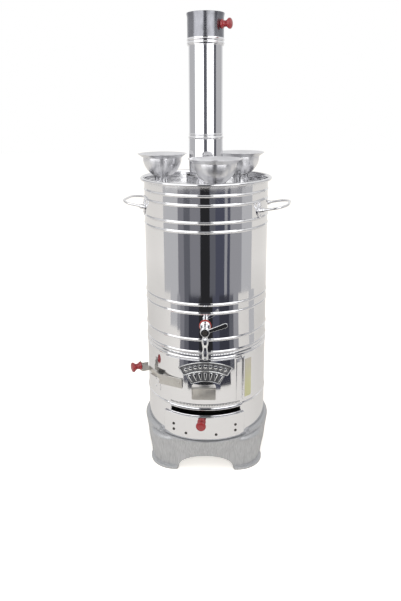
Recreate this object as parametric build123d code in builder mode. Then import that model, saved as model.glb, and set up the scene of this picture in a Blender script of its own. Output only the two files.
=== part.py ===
"""A wood-fired samovar: base, firebox, water tank, tap, lid with three bowls, and chimney.

Millimetres, +Z up. The origin is on the drum's axis at the level of the feet, and the front, with the
tap and the fire door, faces -Y. An azimuth is in degrees from the front towards +X.
"""
import os
from math import atan2, cos, degrees, radians, sin, sqrt

from build123d import *

# ---------------------------------------------------------------- driving dimensions
SHEET = 1.5                 # drum sheet
FIT = 0.3                   # gap between pieces that lift off or swing
RUNNING = 0.05              # radial clearance of a pin or plug in its bore
CONTACT = 0.05              # gap under a plate that is riveted or glued on a curved wall
HEAD_GAP = 0.15             # gap between a flat head and a curved wall
CUT = 5.0                   # how far a cutter starts outside the face that it opens

# drum, in a stack from its foot in the base to the tank's top
DRUM_R = 175.0
DRUM_FOOT = 90.0            # where the drum stands on the base's ledge
DRAWER_RISE = 13.0          # from the drum's foot to the drawer's front
DRAWER_HEIGHT = 72.0
SLOT_RISE = 2.5             # from the drawer's front to the air slot
SLOT_HEIGHT = 16.5
DOOR_RISE = 20.0            # from the air slot to the door
DOOR_HEIGHT = 129.0
SEAM_RISE = 19.0            # from the door to the seam between firebox and tank
TANK_HEIGHT = 458.0
BEAD_PROUD = 2.0
BEAD_WIDTH = 7.0
BEAD_RISE = 6.0             # from the slot, and from the door, to the firebox's beads
LOWER_BEADS = (6.0, 42.0, 117.0, 141.0)     # up from the seam
UPPER_BEADS = (120.0, 95.5, 50.0, 25.0)     # down from the tank's top
RIM_PROUD = 11.0            # rolled rim
RIM_WIRE = 4.5              # radius of the roll
RIM_RISE = 4.0              # from the tank's top to the roll's centre

# base casting
BASE_RISE = 22.0            # how far its shoulder stands above the drum's foot
BASE_PROUD = 12.0           # how far it stands out from the drum, just under the shoulder
FOOT_PROUD = 5.0            # and at the ground
FOOT_DRAFT = 1.0            # how much the ring widens up to the arches
BASE_WALL = 6.0
SHOULDER = 10.0
SEAT_WIDTH = 10.0           # ledge that carries the drum
SEAT_THICK = 6.0
LOBES = 4
LOBE_INSET = 50.0           # from the drum's wall to the corner lobes' centres
LOBE_TOP_R = 74.0
LOBE_TAPER = 6.0
LOBE_DROP = 11.5            # from the base's shoulder to the lobes'
FOOT_LIP = 4.0
FOOT_LIP_HIGH = 9.0
ARCH_HALF = 81.0
ARCH_HIGH = 54.0
NOTCH_FROM, NOTCH_TO = -44.0, 40.5
NOTCH_RISE = 11.5           # from the drum's foot to the edge under the drawer
BASE_SCREWS = 4
BASE_SCREW_INSET = 3.5      # from the ledge's inner edge
SCREW_R = 2.0
SCREW_HEAD_R = 4.0
SCREW_HEAD = 3.0
SCREW_NUT = 3.5
SCREW_END = 1.0             # what shows of a screw below its nut

# fire door
DOOR_FROM, DOOR_TO = -39.5, 33.5
DOOR_GAP = 1.2              # from the drum to the door's inner face
DOOR_SHEET = 1.8
DOOR_LAP = 3.2              # degrees that the door laps its opening
DOOR_LAP_Z = 6.0

# piano hinge
HINGE_TURN = 2.2            # degrees from the door's edge to the pin
HINGE_STAND = 2.4           # from the door's face to the pin's centre
HINGE_END = 2.0             # from the door's corners to the hinge's ends
KNUCKLE_R = 2.6
PIN_R = 1.2
PIN_END = 1.0               # what shows of the pin at each end
KNUCKLES = 9
KNUCKLE_GAP = 0.4
LEAF = 1.0
DOOR_LEAF = (-7.0, -1.3)    # degrees from the pin
DOOR_TAB = (-1.4, -0.55)
DRUM_LEAF = (1.0, 3.0)
DRUM_STEP = (1.0, 1.35)
DRUM_TAB = (0.55, 1.1)

# badge: an arched band over a fan, on an imagined circle below the arch
BADGE_R = 135.5
BADGE_BAND = 27.5
BADGE_DROP = 2.0            # from the door's top
BADGE_HALF = 34.0           # half angle of the band
BADGE_BORDER = 2.5
FAN_BAND = 30.0
FAN_HALF = 30.0
BADGE_SHEET = 1.0
BADGE_DEPTH = 100.0         # from the face it is drawn on to well inside the door
RELIEF = 1.0
BOSSES = 9
BOSS_R = 5.0
FLUTES = 7
FLUTE_WIDE = 5.0
FLUTE_END = 3.0             # from a flute's ends to the fan's edges
FLUTE_TIP = 1.64
PATTERN_END = 4.0           # degrees from the last boss or flute to the band's end

# draught flap in the door
FLAP_AZ = -1.5
FLAP_WIDE = 62.0
FLAP_HIGH = 36.0
FLAP_RISE = 53.0            # from the door's foot to the flap's top
FLAP_SHEET = 1.5
FLAP_STAND = 5.0            # from the door's face to the flap's back
FLAP_PIN_R = 1.5
FLAP_PIN_END = 1.0
FLAP_CURL = 1.0             # sheet that is curled round the pin
VENT_WIDE, VENT_HIGH = 50.0, 20.0
VENT_DROP = 2.0             # from the flap's middle to the vent's
CHEEK = 1.5                 # sheet of the flap's frame
CHEEK_GAP = 0.5
CHEEK_PROUD = 1.0           # how far the frame stands out past the flap
HOOD_OVER = 2.0             # how far it reaches over the flap's top

# door latch: a lever in plan runs (along the lever, outwards from it)
LATCH_AZ = -25.0
LATCH_RISE = 57.0           # from the door's foot to the lever's rivet
LEVER_GAP = 1.3             # from the door's face, clear of its curve over the whole bar
LEVER = 2.5                 # sheet of the lever
LEVER_HIGH = 28.0
LEVER_TAIL = 12.0           # behind the rivet
LEVER_BAR = 60.0            # from the rivet to the end of the wide bar
LEVER_BEND = 4.0            # inner radius of its bends
STRIP_HIGH = 14.0
STRIP_END = (114.0, -36.0)
TAB_END = (129.0, -19.0)
TAB_LIP = 16.5              # bent across the end of the tab to carry the knob
TAB_HIGH = 26.0
LATCH_RIVET_R = 3.0
LATCH_HEAD = 2.0            # how far a rivet's heads stand out round its shank

# latch keeper: a riveted plate with a ledge under the lever's strip
KEEPER_FROM, KEEPER_TO = -57.0, -48.0
KEEPER_RISE = 10.0          # from the door's foot to the plate's
KEEPER_DEPTH = 16.0         # from the drum to the ledge's edge
KEEPER_SHEET = 1.5
KEEPER_RIVETS = ((-55.0, 30.0), (-50.5, 23.0), (-55.0, 7.0))    # azimuth, height on the plate

# ash drawer
DRAWER_FROM, DRAWER_TO = -41.5, 37.6
DRAWER_SHEET = 4.0          # pressed front with turned edges
DRAWER_EDGE = 1.6           # radius of the turned edges
DRAWER_GAP = 1.0
DRAWER_OPEN = 36.8          # half angle of the opening behind the drawer's front
DRAWER_LAP = 1.0            # how far the front laps the opening's lower edge
TRAY_SIDE = 4.0             # from the tray's sides to the opening's
TRAY_BACK = 70.0
TRAY_RISE = 2.5             # from the front's lower edge to the tray
TRAY_HEIGHT = 62.5
TRAY_HEAD = 2.0             # from the tray to the opening's upper edge
TRAY_SHEET = 1.5
DRAWER_KNOB_AZ = -3.5
DRAWER_KNOB_DROP = 14.0     # from the front's upper edge
DRAWER_RIVETS = (           # azimuth, height on the front
    (-30.5, 38.5),
    (-30.5, 21.5),
    (-18.0, 18.0),
    (9.5, 18.0),
    (28.0, 39.0),
    (28.0, 21.5),
)
RUNNER_WIDE = 10.0
RUNNER_PAST = 20.0          # how far the runners go past the tray's back
RUNNER_FRONT = 3.0          # from the drum's wall to the runners' ends
RUNNER_SHEET = 1.5
RUNNER_LIP = 6.0

# air slot over the drawer
SLOT_FROM, SLOT_TO = -34.0, 34.0
HOOD_RISE = 0.5
HOOD_PROUD = 4.0
HOOD_HIGH = 8.0
HOOD_PAST = 1.0             # degrees that the hood goes past the slot
BEAD_PAST = 2.0             # and that the bead stops before it

# grate
GRATE_RISE = 8.0            # from the air slot to the grate
GRATE_LAP = 12.0            # how far it lies on its ring
GRATE_THICK = 8.0
GRATE_SLOTS = 9
GRATE_SLOT = 10.0
GRATE_RING_WIDTH = 27.5
GRATE_RING_SHEET = 2.0

# flue and tank floor
FLUE_R = 46.0
FLUE_SHEET = 1.2
FLUE_RISE = 112.0           # above the tank's top
FLUE_FLANGE = 14.0
TANK_FLOOR_RISE = 4.0       # above the seam
SPIGOT = 12.0               # how far the tank's floor reaches down into the firebox

# lid
LID_GAP = 2.0
LID_SHEET = 1.2
LID_SEAT_DROP = 9.0         # from the tank's top to the ring that carries the lid
LID_SEAT_WIDTH = 9.0
LID_SEAT_HIGH = 8.0
LID_INSET = 2.0             # from that ring to the lid's pan
LID_DROP = 5.0              # how far the pan lies below the lid's edge
LID_CURL = 3.6              # height of the lid's turned-up edge
COLLAR_GAP = 7.5            # between the chimney's socket and the lid's collar
COLLAR_HIGH = 24.0
COLLAR_FLANGE = 8.0
STEAM_R = 22.0
STEAM_COLLAR = 16.5

# bowls
BOWL_INSET = 41.0           # from the drum's wall to the bowls' centres
BOWL_AZIMUTHS = {"bowl_front": 11.4, "bowl_right": 131.4, "bowl_left": -108.6}
BOWL_R = 56.0
BOWL_FLARE = 15.5
BOWL_RISE = 12.2            # from the round body's centre to the rim
BOWL_SHEET = 1.2
BOWL_NECK = 11.0            # height of the flared flange
BOWL_STEP = 4.0             # small shelf under the flare

# chimney
PIPE_STEP = 1.0             # from the socket to the pipe
PIPE_SHEET = 1.2
SOCKET_RISE = 17.0          # from the tank's top to the socket
CHIMNEY_RISE = 441.0        # from the tank's top to the chimney's
PIPE_BEAD = 1.5
PIPE_BEAD_WIDE = 3.0
PIPE_BEADS = (2.0, 11.0)    # up from the step
CAP_PROUD = 3.0             # how far the chimney's top stands out from its pipe
CAP_HEIGHT = 83.0
CAP_LAP = 27.0              # over the pipe
CAP_FLARE = 1.8
CAP_FLARE_HIGH = 12.0
CAP_EDGE = 1.0
CAP_BEADS = (6.0, 15.0)     # up from the chimney top's lower edge
CAP_BEAD_WIDE = 6.0
CHIMNEY_KNOB_AZ = 62.0
CHIMNEY_KNOB_DROP = 30.0    # from the chimney's mouth

# red spool knobs
KNOB_LONG = 28.0
KNOB_NECK = 2.8             # length of the straight neck
KNOB_NECK_R = 12.0
KNOB_WAIST_R = 8.0
KNOB_WAIST_AT = 11.8        # from the seat
KNOB_RIM_AT = 21.0
KNOB_RIM = 3.6              # length of the straight rim
KNOB_RIM_R = 14.0
KNOB_FACE_R = 8.4           # flat middle of the end
KNOB_THREAD = 12.0
KNOB_SCREW_R = 2.0
KNOB_HEAD_R = 4.0
KNOB_HEAD = 2.5

# tap
TAP_RISE = 83.0             # from the tank's seam to the tap's axis
TAP_TUBE_R = 9.0
TAP_TUBE_IN = 17.0          # how far the tube reaches in from the drum's face
TAP_WATER_R = 5.0
TAP_BARREL_R = 12.0
TAP_BARREL_END = 13.0       # from the spout's axis to the barrel's end
TAP_SHOULDER = 3.0
TAP_FLANGE_R = 14.5
TAP_FLANGE = 3.7
TAP_WASHER_R = 18.5
TAP_WASHER = 3.2
TAP_NUT = 7.0
TAP_NUT_R = 14.0
TAP_SEAL = 2.0
PLUG_R = 7.5
PLUG_LONG = 25.0
SPOUT_REACH = 28.0          # from the drum to the spout's axis
SPOUT_DROP = 84.0           # from the tap's axis to the spout's mouth
SPOUT_R = 9.0
SPOUT_NECK_R = 8.0
SPOUT_THROAT_R = 6.5
SPOUT_SWELL_R = 10.0
SPOUT_WAIST_R = 7.0
SPOUT_TURNS = (4.0, 7.0, 17.0, 28.0, 34.0)  # neck, throat, swell, waist and foot, below the barrel
SPOUT_LIP = 6.0
SPOUT_LIP_DRAW = 1.5
SPOUT_BORE_R = 5.5
SPOUT_BORE = 50.0           # depth of the outlet's bore
SPOUT_WAY_R = 4.5           # waterway above it
GLAND = 5.0
GLAND_PROUD = 0.8
GLAND_EDGE = 1.0
STEM_R = 4.0
LEVER_HUB = 7.0
TAP_SCREW_R = 6.5
TAP_SCREW_HEAD = 1.8
TAP_SCREW_EDGE = 0.8
TAP_LEVER_LONG = 63.0
TAP_LEVER_TILT = 20.0
TAP_LEVER_ROOT = 8.0
TAP_LEVER_SINK = 2.0        # how far the lever's blade runs into its hub
TAP_LEVER_TIP = 13.0
TAP_LEVER_CORNER = 4.5
TAP_LEVER_THICK = 4.0

# carrying handles
HANDLE_AZIMUTHS = {"right": 79.0, "left": -101.0}
HANDLE_DROP = 75.0          # from the tank's top
HANDLE_TILT = 10.0
HANDLE_HALF = 68.5
HANDLE_INSET = 10.0         # from the drum's face to the plane that the reaches are measured from
HANDLE_REACH = 72.0
HANDLE_SHOULDER = 50.0
HANDLE_TIP_HALF = 38.0
HANDLE_ROD_R = 3.5
HANDLE_BEND = 16.0
BRACKET_WIDE = 30.0
BRACKET_HIGH = 46.0
BRACKET_THICK = 3.5
BRACKET_BOSS_R = 7.0
BRACKET_BOSS = 13.0
BRACKET_RIVETS = 0.28       # share of the leaf's height that a rivet lies above or below its middle
RIVET_R = 2.5
RIVET_HEAD_R = 4.0
RIVET_HEAD = 1.6
RIVET_DRAFT = 25.0

# label
LABEL_FROM, LABEL_TO = 39.0, 47.0
LABEL_RISE = 2.0            # from the door's foot
LABEL_HEIGHT = 115.0
LABEL_SHEET = 0.6

# ---------------------------------------------------------------- worked out from them
DRAWER_LOW = DRUM_FOOT + DRAWER_RISE
DRAWER_HIGH = DRAWER_LOW + DRAWER_HEIGHT
SLOT_LOW = DRAWER_HIGH + SLOT_RISE
SLOT_HIGH = SLOT_LOW + SLOT_HEIGHT
DOOR_LOW = SLOT_HIGH + DOOR_RISE
DOOR_HIGH = DOOR_LOW + DOOR_HEIGHT
TANK_FOOT = DOOR_HIGH + SEAM_RISE
DRUM_TOP = TANK_FOOT + TANK_HEIGHT
FIREBOX_BEADS = (SLOT_HIGH + BEAD_RISE, DOOR_HIGH + BEAD_RISE)
TANK_BEADS = (
    *(TANK_FOOT + rise for rise in LOWER_BEADS),
    *(DRUM_TOP - drop for drop in UPPER_BEADS),
)
BASE_TOP = DRUM_FOOT + BASE_RISE
NOTCH_LEVEL = DRUM_FOOT + NOTCH_RISE
BASE_R = DRUM_R + BASE_PROUD
BASE_FOOT_R = DRUM_R + FOOT_PROUD
LOBE_RHO = DRUM_R - LOBE_INSET
RIM_R = DRUM_R + RIM_PROUD
DRUM_IN = DRUM_R - SHEET
DOOR_IN = DRUM_R + DOOR_GAP
DOOR_OUT = DOOR_IN + DOOR_SHEET
DRAWER_IN = DRUM_R + DRAWER_GAP
DRAWER_OUT = DRAWER_IN + DRAWER_SHEET
FLOOR_TOP = DRUM_FOOT + SHEET
TRAY_HALF = DRUM_IN * sin(radians(DRAWER_OPEN)) - TRAY_SIDE
TRAY_LOW = DRAWER_LOW + TRAY_RISE
TRAY_HIGH = TRAY_LOW + TRAY_HEIGHT
GRATE_RING_Z = SLOT_HIGH + GRATE_RISE
GRATE_RING_IN = DRUM_IN - GRATE_RING_WIDTH
FLUE_TOP = DRUM_TOP + FLUE_RISE
TANK_FLOOR_Z = TANK_FOOT + TANK_FLOOR_RISE
SOCKET_R = FLUE_R + FIT + PIPE_SHEET
PIPE_R = SOCKET_R - PIPE_STEP
CAP_R = PIPE_R + CAP_PROUD
CAP_TOP = DRUM_TOP + CHIMNEY_RISE
CAP_LOW = CAP_TOP - CAP_HEIGHT
PIPE_TOP = CAP_LOW + CAP_LAP
TAP_Z = TANK_FOOT + TAP_RISE
SPOUT_AT = DRUM_R + SPOUT_REACH
SPOUT_LOW = TAP_Z - SPOUT_DROP
TAP_BARREL_TO = SPOUT_AT + TAP_BARREL_END
PLUG_BACK = TAP_BARREL_TO - PLUG_LONG
HANDLE_Z = DRUM_TOP - HANDLE_DROP
HANDLE_START = DRUM_R - HANDLE_INSET
BOWL_RHO = DRUM_R - BOWL_INSET


# ---------------------------------------------------------------- small helpers
def polar(radius, azimuth, height):
    """A point from its radius, azimuth and height."""
    angle = radians(azimuth)
    return (radius * sin(angle), -radius * cos(angle), height)


def outward(radius, azimuth, height):
    """A plane that faces straight out of the drum, with its X level and its Y up."""
    angle = radians(azimuth)
    return Plane(
        origin=polar(radius, azimuth, height),
        x_dir=(cos(angle), sin(angle), 0),
        z_dir=(sin(angle), -cos(angle), 0),
    )


def sideways(radius, azimuth, height):
    """A plane along a radius: its X points out of the drum and its Y up."""
    angle = radians(azimuth)
    return Plane(
        origin=polar(radius, azimuth, height),
        x_dir=(sin(angle), -cos(angle), 0),
        z_dir=(-cos(angle), -sin(angle), 0),
    )


def turned(points, mode=Mode.ADD):
    """Turns a closed outline of (radius, height) points round the drum's axis."""
    with BuildSketch(Plane.XZ) as outline:
        with BuildLine():
            Polyline(*points, close=True)
        make_face()
    revolve(outline.sketch, axis=Axis.Z, mode=mode)


def sector(inner, outer, start, end, low, high, mode=Mode.ADD):
    """A curved plate between two radii, two azimuths and two heights."""
    with BuildSketch(Plane.XY.offset(low)) as plan:
        with BuildLine():
            near = CenterArc((0, 0), inner, start - 90, end - start)
            far = CenterArc((0, 0), outer, start - 90, end - start)
            Line(near @ 0, far @ 0)
            Line(near @ 1, far @ 1)
        make_face()
    extrude(plan.sketch, amount=high - low, mode=mode)


def ring(inner, outer, low, high, mode=Mode.ADD):
    """A plain ring round the drum's axis."""
    with BuildSketch(Plane.XY.offset(low)) as plan:
        Circle(outer)
        if inner > 0:
            Circle(inner, mode=Mode.SUBTRACT)
    extrude(plan.sketch, amount=high - low, mode=mode)


def beaded_wall(inner, outer, low, high, beads, proud, width):
    """The outline of a sheet wall with swaged beads: up its outside, down its inside."""
    outline = [(inner, low), (outer, low)]
    for level in beads:
        outline += [
            (outer, level - width / 2),
            (outer + proud, level - width / 6),
            (outer + proud, level + width / 6),
            (outer, level + width / 2),
        ]
    return outline + [(outer, high), (inner, high)]


def spool_knob(plane):
    """A red spool knob, turned about the plane's X from the plane's origin."""
    rim_end = KNOB_RIM_AT + KNOB_RIM
    round_off = (KNOB_RIM_R - KNOB_FACE_R) / 3
    with BuildSketch(plane) as profile:
        with BuildLine():
            Polyline((0, KNOB_SCREW_R + RUNNING), (0, KNOB_NECK_R), (KNOB_NECK, KNOB_NECK_R))
            ThreePointArc(
                (KNOB_NECK, KNOB_NECK_R),
                (KNOB_WAIST_AT, KNOB_WAIST_R),
                (KNOB_RIM_AT, KNOB_RIM_R),
            )
            Line((KNOB_RIM_AT, KNOB_RIM_R), (rim_end, KNOB_RIM_R))
            ThreePointArc(
                (rim_end, KNOB_RIM_R),
                ((rim_end + 2 * KNOB_LONG) / 3, KNOB_RIM_R - round_off),
                (KNOB_LONG, KNOB_FACE_R),
            )
            Polyline(
                (KNOB_LONG, KNOB_FACE_R),
                (KNOB_LONG, 0),
                (KNOB_THREAD, 0),
                (KNOB_THREAD, KNOB_SCREW_R + RUNNING),
                (0, KNOB_SCREW_R + RUNNING),
            )
        make_face()
    revolve(profile.sketch, axis=Axis(plane.origin, plane.x_dir))


def knob_screw(plane, wall):
    """The screw of a knob: its head behind a wall of that thickness, its shank in the knob."""
    with BuildSketch(plane) as profile:
        with BuildLine():
            Polyline(
                (-wall - KNOB_HEAD, 0),
                (-wall - KNOB_HEAD, KNOB_HEAD_R),
                (-wall, KNOB_HEAD_R),
                (-wall, KNOB_SCREW_R),
                (KNOB_THREAD - FIT, KNOB_SCREW_R),
                (KNOB_THREAD - FIT, 0),
                close=True,
            )
        make_face()
    revolve(profile.sketch, axis=Axis(plane.origin, plane.x_dir))


def rivet(plane, depth):
    """A round-headed rivet: its head stands on the plane and its shank goes in."""
    with BuildSketch(plane) as head:
        Circle(RIVET_HEAD_R)
    extrude(head.sketch, amount=RIVET_HEAD, taper=RIVET_DRAFT)
    with BuildSketch(plane) as shank:
        Circle(RIVET_R)
    extrude(shank.sketch, amount=-depth)


def drilled(plane, radius, depth):
    """A hole bored inwards from a plane."""
    with BuildSketch(plane) as mouth:
        Circle(radius)
    extrude(mouth.sketch, amount=-depth, mode=Mode.SUBTRACT)


PIECES = {}


def keep(piece, name):
    """Labels a finished piece and remembers it for export."""
    piece.part.label = name
    PIECES[name] = piece.part


# ---------------------------------------------------------------- base casting
LEDGE_R = DRUM_R + FIT - SEAT_WIDTH
BASE_SCREW_RHO = LEDGE_R + BASE_SCREW_INSET
LOBE_FOOT_R = LOBE_TOP_R - LOBE_TAPER


def lobe(shrink, top):
    """One corner lobe, turned about its own axis; shrink takes the wall off it."""
    lip = FOOT_LIP if shrink == 0 else 0
    with BuildSketch(Plane.XZ) as outline:
        with BuildLine():
            Polyline(
                (0, 0),
                (LOBE_FOOT_R + lip - shrink, 0),
                (LOBE_FOOT_R + lip - shrink, FOOT_LIP_HIGH / 3),
                (LOBE_FOOT_R - shrink, FOOT_LIP_HIGH),
                (LOBE_TOP_R - shrink, top - SHOULDER),
            )
            RadiusArc(
                (LOBE_TOP_R - shrink, top - SHOULDER),
                (LOBE_TOP_R - shrink - SHOULDER, top),
                -SHOULDER,
            )
            Polyline((LOBE_TOP_R - shrink - SHOULDER, top), (0, top), (0, 0))
        make_face()
    revolve(outline.sketch, axis=Axis.Z)


with BuildPart() as lobe_solid:
    lobe(0, BASE_TOP - LOBE_DROP)
with BuildPart() as lobe_hollow:
    lobe(BASE_WALL, DRUM_FOOT - SEAT_THICK)

with BuildPart() as base_casting:
    with BuildSketch(Plane.XZ):
        with BuildLine():
            Polyline(
                (LEDGE_R, 0),
                (BASE_FOOT_R, 0),
                (BASE_FOOT_R + FOOT_DRAFT, ARCH_HIGH),
                (BASE_R, BASE_TOP - SHOULDER),
            )
            RadiusArc((BASE_R, BASE_TOP - SHOULDER), (BASE_R - SHOULDER, BASE_TOP), -SHOULDER)
            Polyline((BASE_R - SHOULDER, BASE_TOP), (LEDGE_R, BASE_TOP), (LEDGE_R, 0))
        make_face()
    revolve(axis=Axis.Z)
    with PolarLocations(LOBE_RHO, LOBES, start_angle=45):
        add(lobe_solid.part)
    with PolarLocations(LOBE_RHO, LOBES, start_angle=45):
        add(lobe_hollow.part, mode=Mode.SUBTRACT)
    ring(0, LEDGE_R, 0, BASE_TOP, mode=Mode.SUBTRACT)
    ring(0, DRUM_R + FIT, DRUM_FOOT, BASE_TOP, mode=Mode.SUBTRACT)
    turned(
        [
            (0, 0),
            (BASE_FOOT_R - BASE_WALL, 0),
            (BASE_FOOT_R - BASE_WALL, DRUM_FOOT - SEAT_THICK - SEAT_WIDTH),
            (LEDGE_R, DRUM_FOOT - SEAT_THICK),
            (0, DRUM_FOOT - SEAT_THICK),
        ],
        mode=Mode.SUBTRACT,
    )
    sector(
        DRUM_R - CUT,
        LOBE_RHO + LOBE_TOP_R + CUT,
        NOTCH_FROM,
        NOTCH_TO,
        NOTCH_LEVEL,
        BASE_TOP,
        mode=Mode.SUBTRACT,
    )
    for side in (Plane.XZ, Plane.YZ):
        with BuildSketch(side):
            Ellipse(ARCH_HALF, ARCH_HIGH)
        extrude(amount=BASE_R + LOBE_TOP_R, both=True, mode=Mode.SUBTRACT)
    with PolarLocations(BASE_SCREW_RHO, BASE_SCREWS, start_angle=45):
        with Locations((0, 0, DRUM_FOOT)):
            Hole(SCREW_R + RUNNING, depth=2 * SEAT_THICK + SEAT_WIDTH)
keep(base_casting, "base_casting")

with BuildPart() as base_screws:
    with BuildSketch(Plane.XY.offset(FLOOR_TOP)):
        with PolarLocations(BASE_SCREW_RHO, BASE_SCREWS, start_angle=45):
            Circle(SCREW_HEAD_R)
    extrude(amount=SCREW_HEAD)
    with BuildSketch(Plane.XY.offset(FLOOR_TOP)):
        with PolarLocations(BASE_SCREW_RHO, BASE_SCREWS, start_angle=45):
            Circle(SCREW_R)
    extrude(amount=-(SHEET + SEAT_THICK + SCREW_NUT + SCREW_END))
    with BuildSketch(Plane.XY.offset(DRUM_FOOT - SEAT_THICK - SCREW_NUT)):
        with PolarLocations(BASE_SCREW_RHO, BASE_SCREWS, start_angle=45):
            RegularPolygon(SCREW_HEAD_R, 6)
    extrude(amount=SCREW_NUT)
keep(base_screws, "base_screws")

# ---------------------------------------------------------------- firebox
with BuildPart() as drum_floor:
    ring(0, DRUM_IN - FIT, DRUM_FOOT, FLOOR_TOP)
    with PolarLocations(BASE_SCREW_RHO, BASE_SCREWS, start_angle=45):
        with Locations((0, 0, FLOOR_TOP)):
            Hole(SCREW_R + RUNNING, depth=2 * SHEET)
keep(drum_floor, "drum_floor")

with BuildPart() as firebox_shell:
    turned(
        beaded_wall(DRUM_IN, DRUM_R, DRUM_FOOT, TANK_FOOT, FIREBOX_BEADS, BEAD_PROUD, BEAD_WIDTH)
    )
    sector(
        DRUM_R,
        DRUM_R + 2 * BEAD_PROUD,
        SLOT_FROM - BEAD_PAST,
        SLOT_TO + BEAD_PAST,
        FIREBOX_BEADS[0] - BEAD_WIDTH,
        FIREBOX_BEADS[0] + BEAD_WIDTH,
        mode=Mode.SUBTRACT,
    )
    sector(
        DRUM_IN - CUT,
        DRUM_R + CUT,
        DOOR_FROM + DOOR_LAP,
        DOOR_TO - DOOR_LAP,
        DOOR_LOW + DOOR_LAP_Z,
        DOOR_HIGH - DOOR_LAP_Z,
        mode=Mode.SUBTRACT,
    )
    sector(
        DRUM_IN - CUT,
        DRUM_R + CUT,
        -DRAWER_OPEN,
        DRAWER_OPEN,
        DRAWER_LOW + DRAWER_LAP,
        TRAY_HIGH + TRAY_HEAD,
        mode=Mode.SUBTRACT,
    )
    sector(
        DRUM_IN - CUT, DRUM_R + CUT, SLOT_FROM, SLOT_TO, SLOT_LOW, SLOT_HIGH, mode=Mode.SUBTRACT
    )
keep(firebox_shell, "firebox_shell")

with BuildPart() as air_slot_hood:
    with BuildSketch(Plane.XZ):
        with BuildLine():
            foot, top = SLOT_HIGH + HOOD_RISE, SLOT_HIGH + HOOD_RISE + HOOD_HIGH
            back = DRUM_R + CONTACT
            Polyline((back, top), (back, foot), (back + HOOD_PROUD, foot))
            ThreePointArc(
                (back + HOOD_PROUD, foot),
                (back + HOOD_PROUD, foot + HOOD_HIGH / 3),
                (back, top),
            )
        make_face()
    revolve(axis=Axis.Z)
    sector(
        DRUM_R - CUT,
        DRUM_R + 2 * HOOD_PROUD,
        SLOT_FROM - HOOD_PAST,
        SLOT_TO + HOOD_PAST,
        SLOT_LOW,
        FIREBOX_BEADS[0] + 2 * HOOD_HIGH,
        mode=Mode.INTERSECT,
    )
keep(air_slot_hood, "air_slot_hood")

with BuildPart() as grate_ring:
    turned(
        [
            (GRATE_RING_IN, GRATE_RING_Z - GRATE_RING_SHEET),
            (DRUM_IN - FIT, GRATE_RING_Z - GRATE_RING_SHEET),
            (DRUM_IN - FIT, GRATE_RING_Z + GRATE_THICK),
            (DRUM_IN - FIT - GRATE_RING_SHEET, GRATE_RING_Z + GRATE_THICK),
            (DRUM_IN - FIT - GRATE_RING_SHEET, GRATE_RING_Z),
            (GRATE_RING_IN, GRATE_RING_Z),
        ]
    )
keep(grate_ring, "grate_ring")

with BuildPart() as fire_grate:
    with BuildSketch(Plane.XY.offset(GRATE_RING_Z)):
        Circle(GRATE_RING_IN + GRATE_LAP)
        slot_pitch = 2 * (GRATE_RING_IN - GRATE_SLOT) / GRATE_SLOTS
        for index in range(GRATE_SLOTS):
            across = (index - (GRATE_SLOTS - 1) / 2) * slot_pitch
            reach = sqrt((GRATE_RING_IN - GRATE_SLOT) ** 2 - across**2)
            with Locations((across, 0)):
                SlotOverall(2 * reach, GRATE_SLOT, rotation=90, mode=Mode.SUBTRACT)
    extrude(amount=GRATE_THICK)
keep(fire_grate, "fire_grate")

# ---------------------------------------------------------------- ash drawer and its runners
for side, name in ((-1, "runner_left"), (1, "runner_right")):
    front = -sqrt((DRUM_IN - RUNNER_FRONT) ** 2 - (TRAY_HALF + RUNNER_SHEET + FIT) ** 2)
    with BuildPart() as runner:
        with BuildSketch(Plane.XZ.offset(-front)):
            with BuildLine():
                top = TRAY_LOW - FIT
                inner = side * (TRAY_HALF - RUNNER_WIDE)
                web = side * (TRAY_HALF + FIT)
                outer = side * (TRAY_HALF + FIT + RUNNER_SHEET)
                Polyline(
                    (inner, FLOOR_TOP),
                    (outer, FLOOR_TOP),
                    (outer, TRAY_LOW + RUNNER_LIP),
                    (web, TRAY_LOW + RUNNER_LIP),
                    (web, top),
                    (inner, top),
                    (inner, top - RUNNER_SHEET),
                    (web, top - RUNNER_SHEET),
                    (web, FLOOR_TOP + RUNNER_SHEET),
                    (inner, FLOOR_TOP + RUNNER_SHEET),
                    close=True,
                )
            make_face()
        extrude(amount=-(TRAY_BACK + RUNNER_PAST - front))
    keep(runner, name)

DRAWER_KNOB_Z = DRAWER_HIGH - DRAWER_KNOB_DROP
DRAWER_KNOB_PLANE = outward(DRAWER_OUT, DRAWER_KNOB_AZ, DRAWER_KNOB_Z)
with BuildPart() as drawer_tray:
    with BuildSketch(Plane.XY.offset(TRAY_LOW)) as tray_outline:
        with Locations((0, (TRAY_BACK - DRUM_R) / 2)):
            Rectangle(2 * TRAY_HALF, TRAY_BACK + DRUM_R)
        Circle(DRAWER_IN - CONTACT, mode=Mode.INTERSECT)
    extrude(amount=TRAY_HIGH - TRAY_LOW)
    with BuildSketch(Plane.XY.offset(TRAY_LOW + TRAY_SHEET)):
        add(tray_outline.sketch.moved(Location((0, 0, -TRAY_LOW))))
        offset(amount=-TRAY_SHEET)
    extrude(amount=TRAY_HIGH, mode=Mode.SUBTRACT)
    drilled(DRAWER_KNOB_PLANE, KNOB_HEAD_R + FIT, DRAWER_SHEET + TRAY_SHEET + KNOB_HEAD)
keep(drawer_tray, "drawer_tray")

with BuildPart() as drawer_front:
    sector(DRAWER_IN, DRAWER_OUT, DRAWER_FROM, DRAWER_TO, DRAWER_LOW, DRAWER_HIGH)
    fillet(drawer_front.faces().sort_by(Axis.Y)[0].edges(), DRAWER_EDGE)
    drilled(DRAWER_KNOB_PLANE.offset(CUT), KNOB_SCREW_R + RUNNING, DRAWER_SHEET + 2 * CUT)
    for azimuth, rise in DRAWER_RIVETS:
        drilled(
            outward(DRAWER_OUT + CUT, azimuth, DRAWER_LOW + rise),
            RIVET_R + RUNNING,
            DRAWER_SHEET + 2 * CUT,
        )
keep(drawer_front, "drawer_front")

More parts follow.
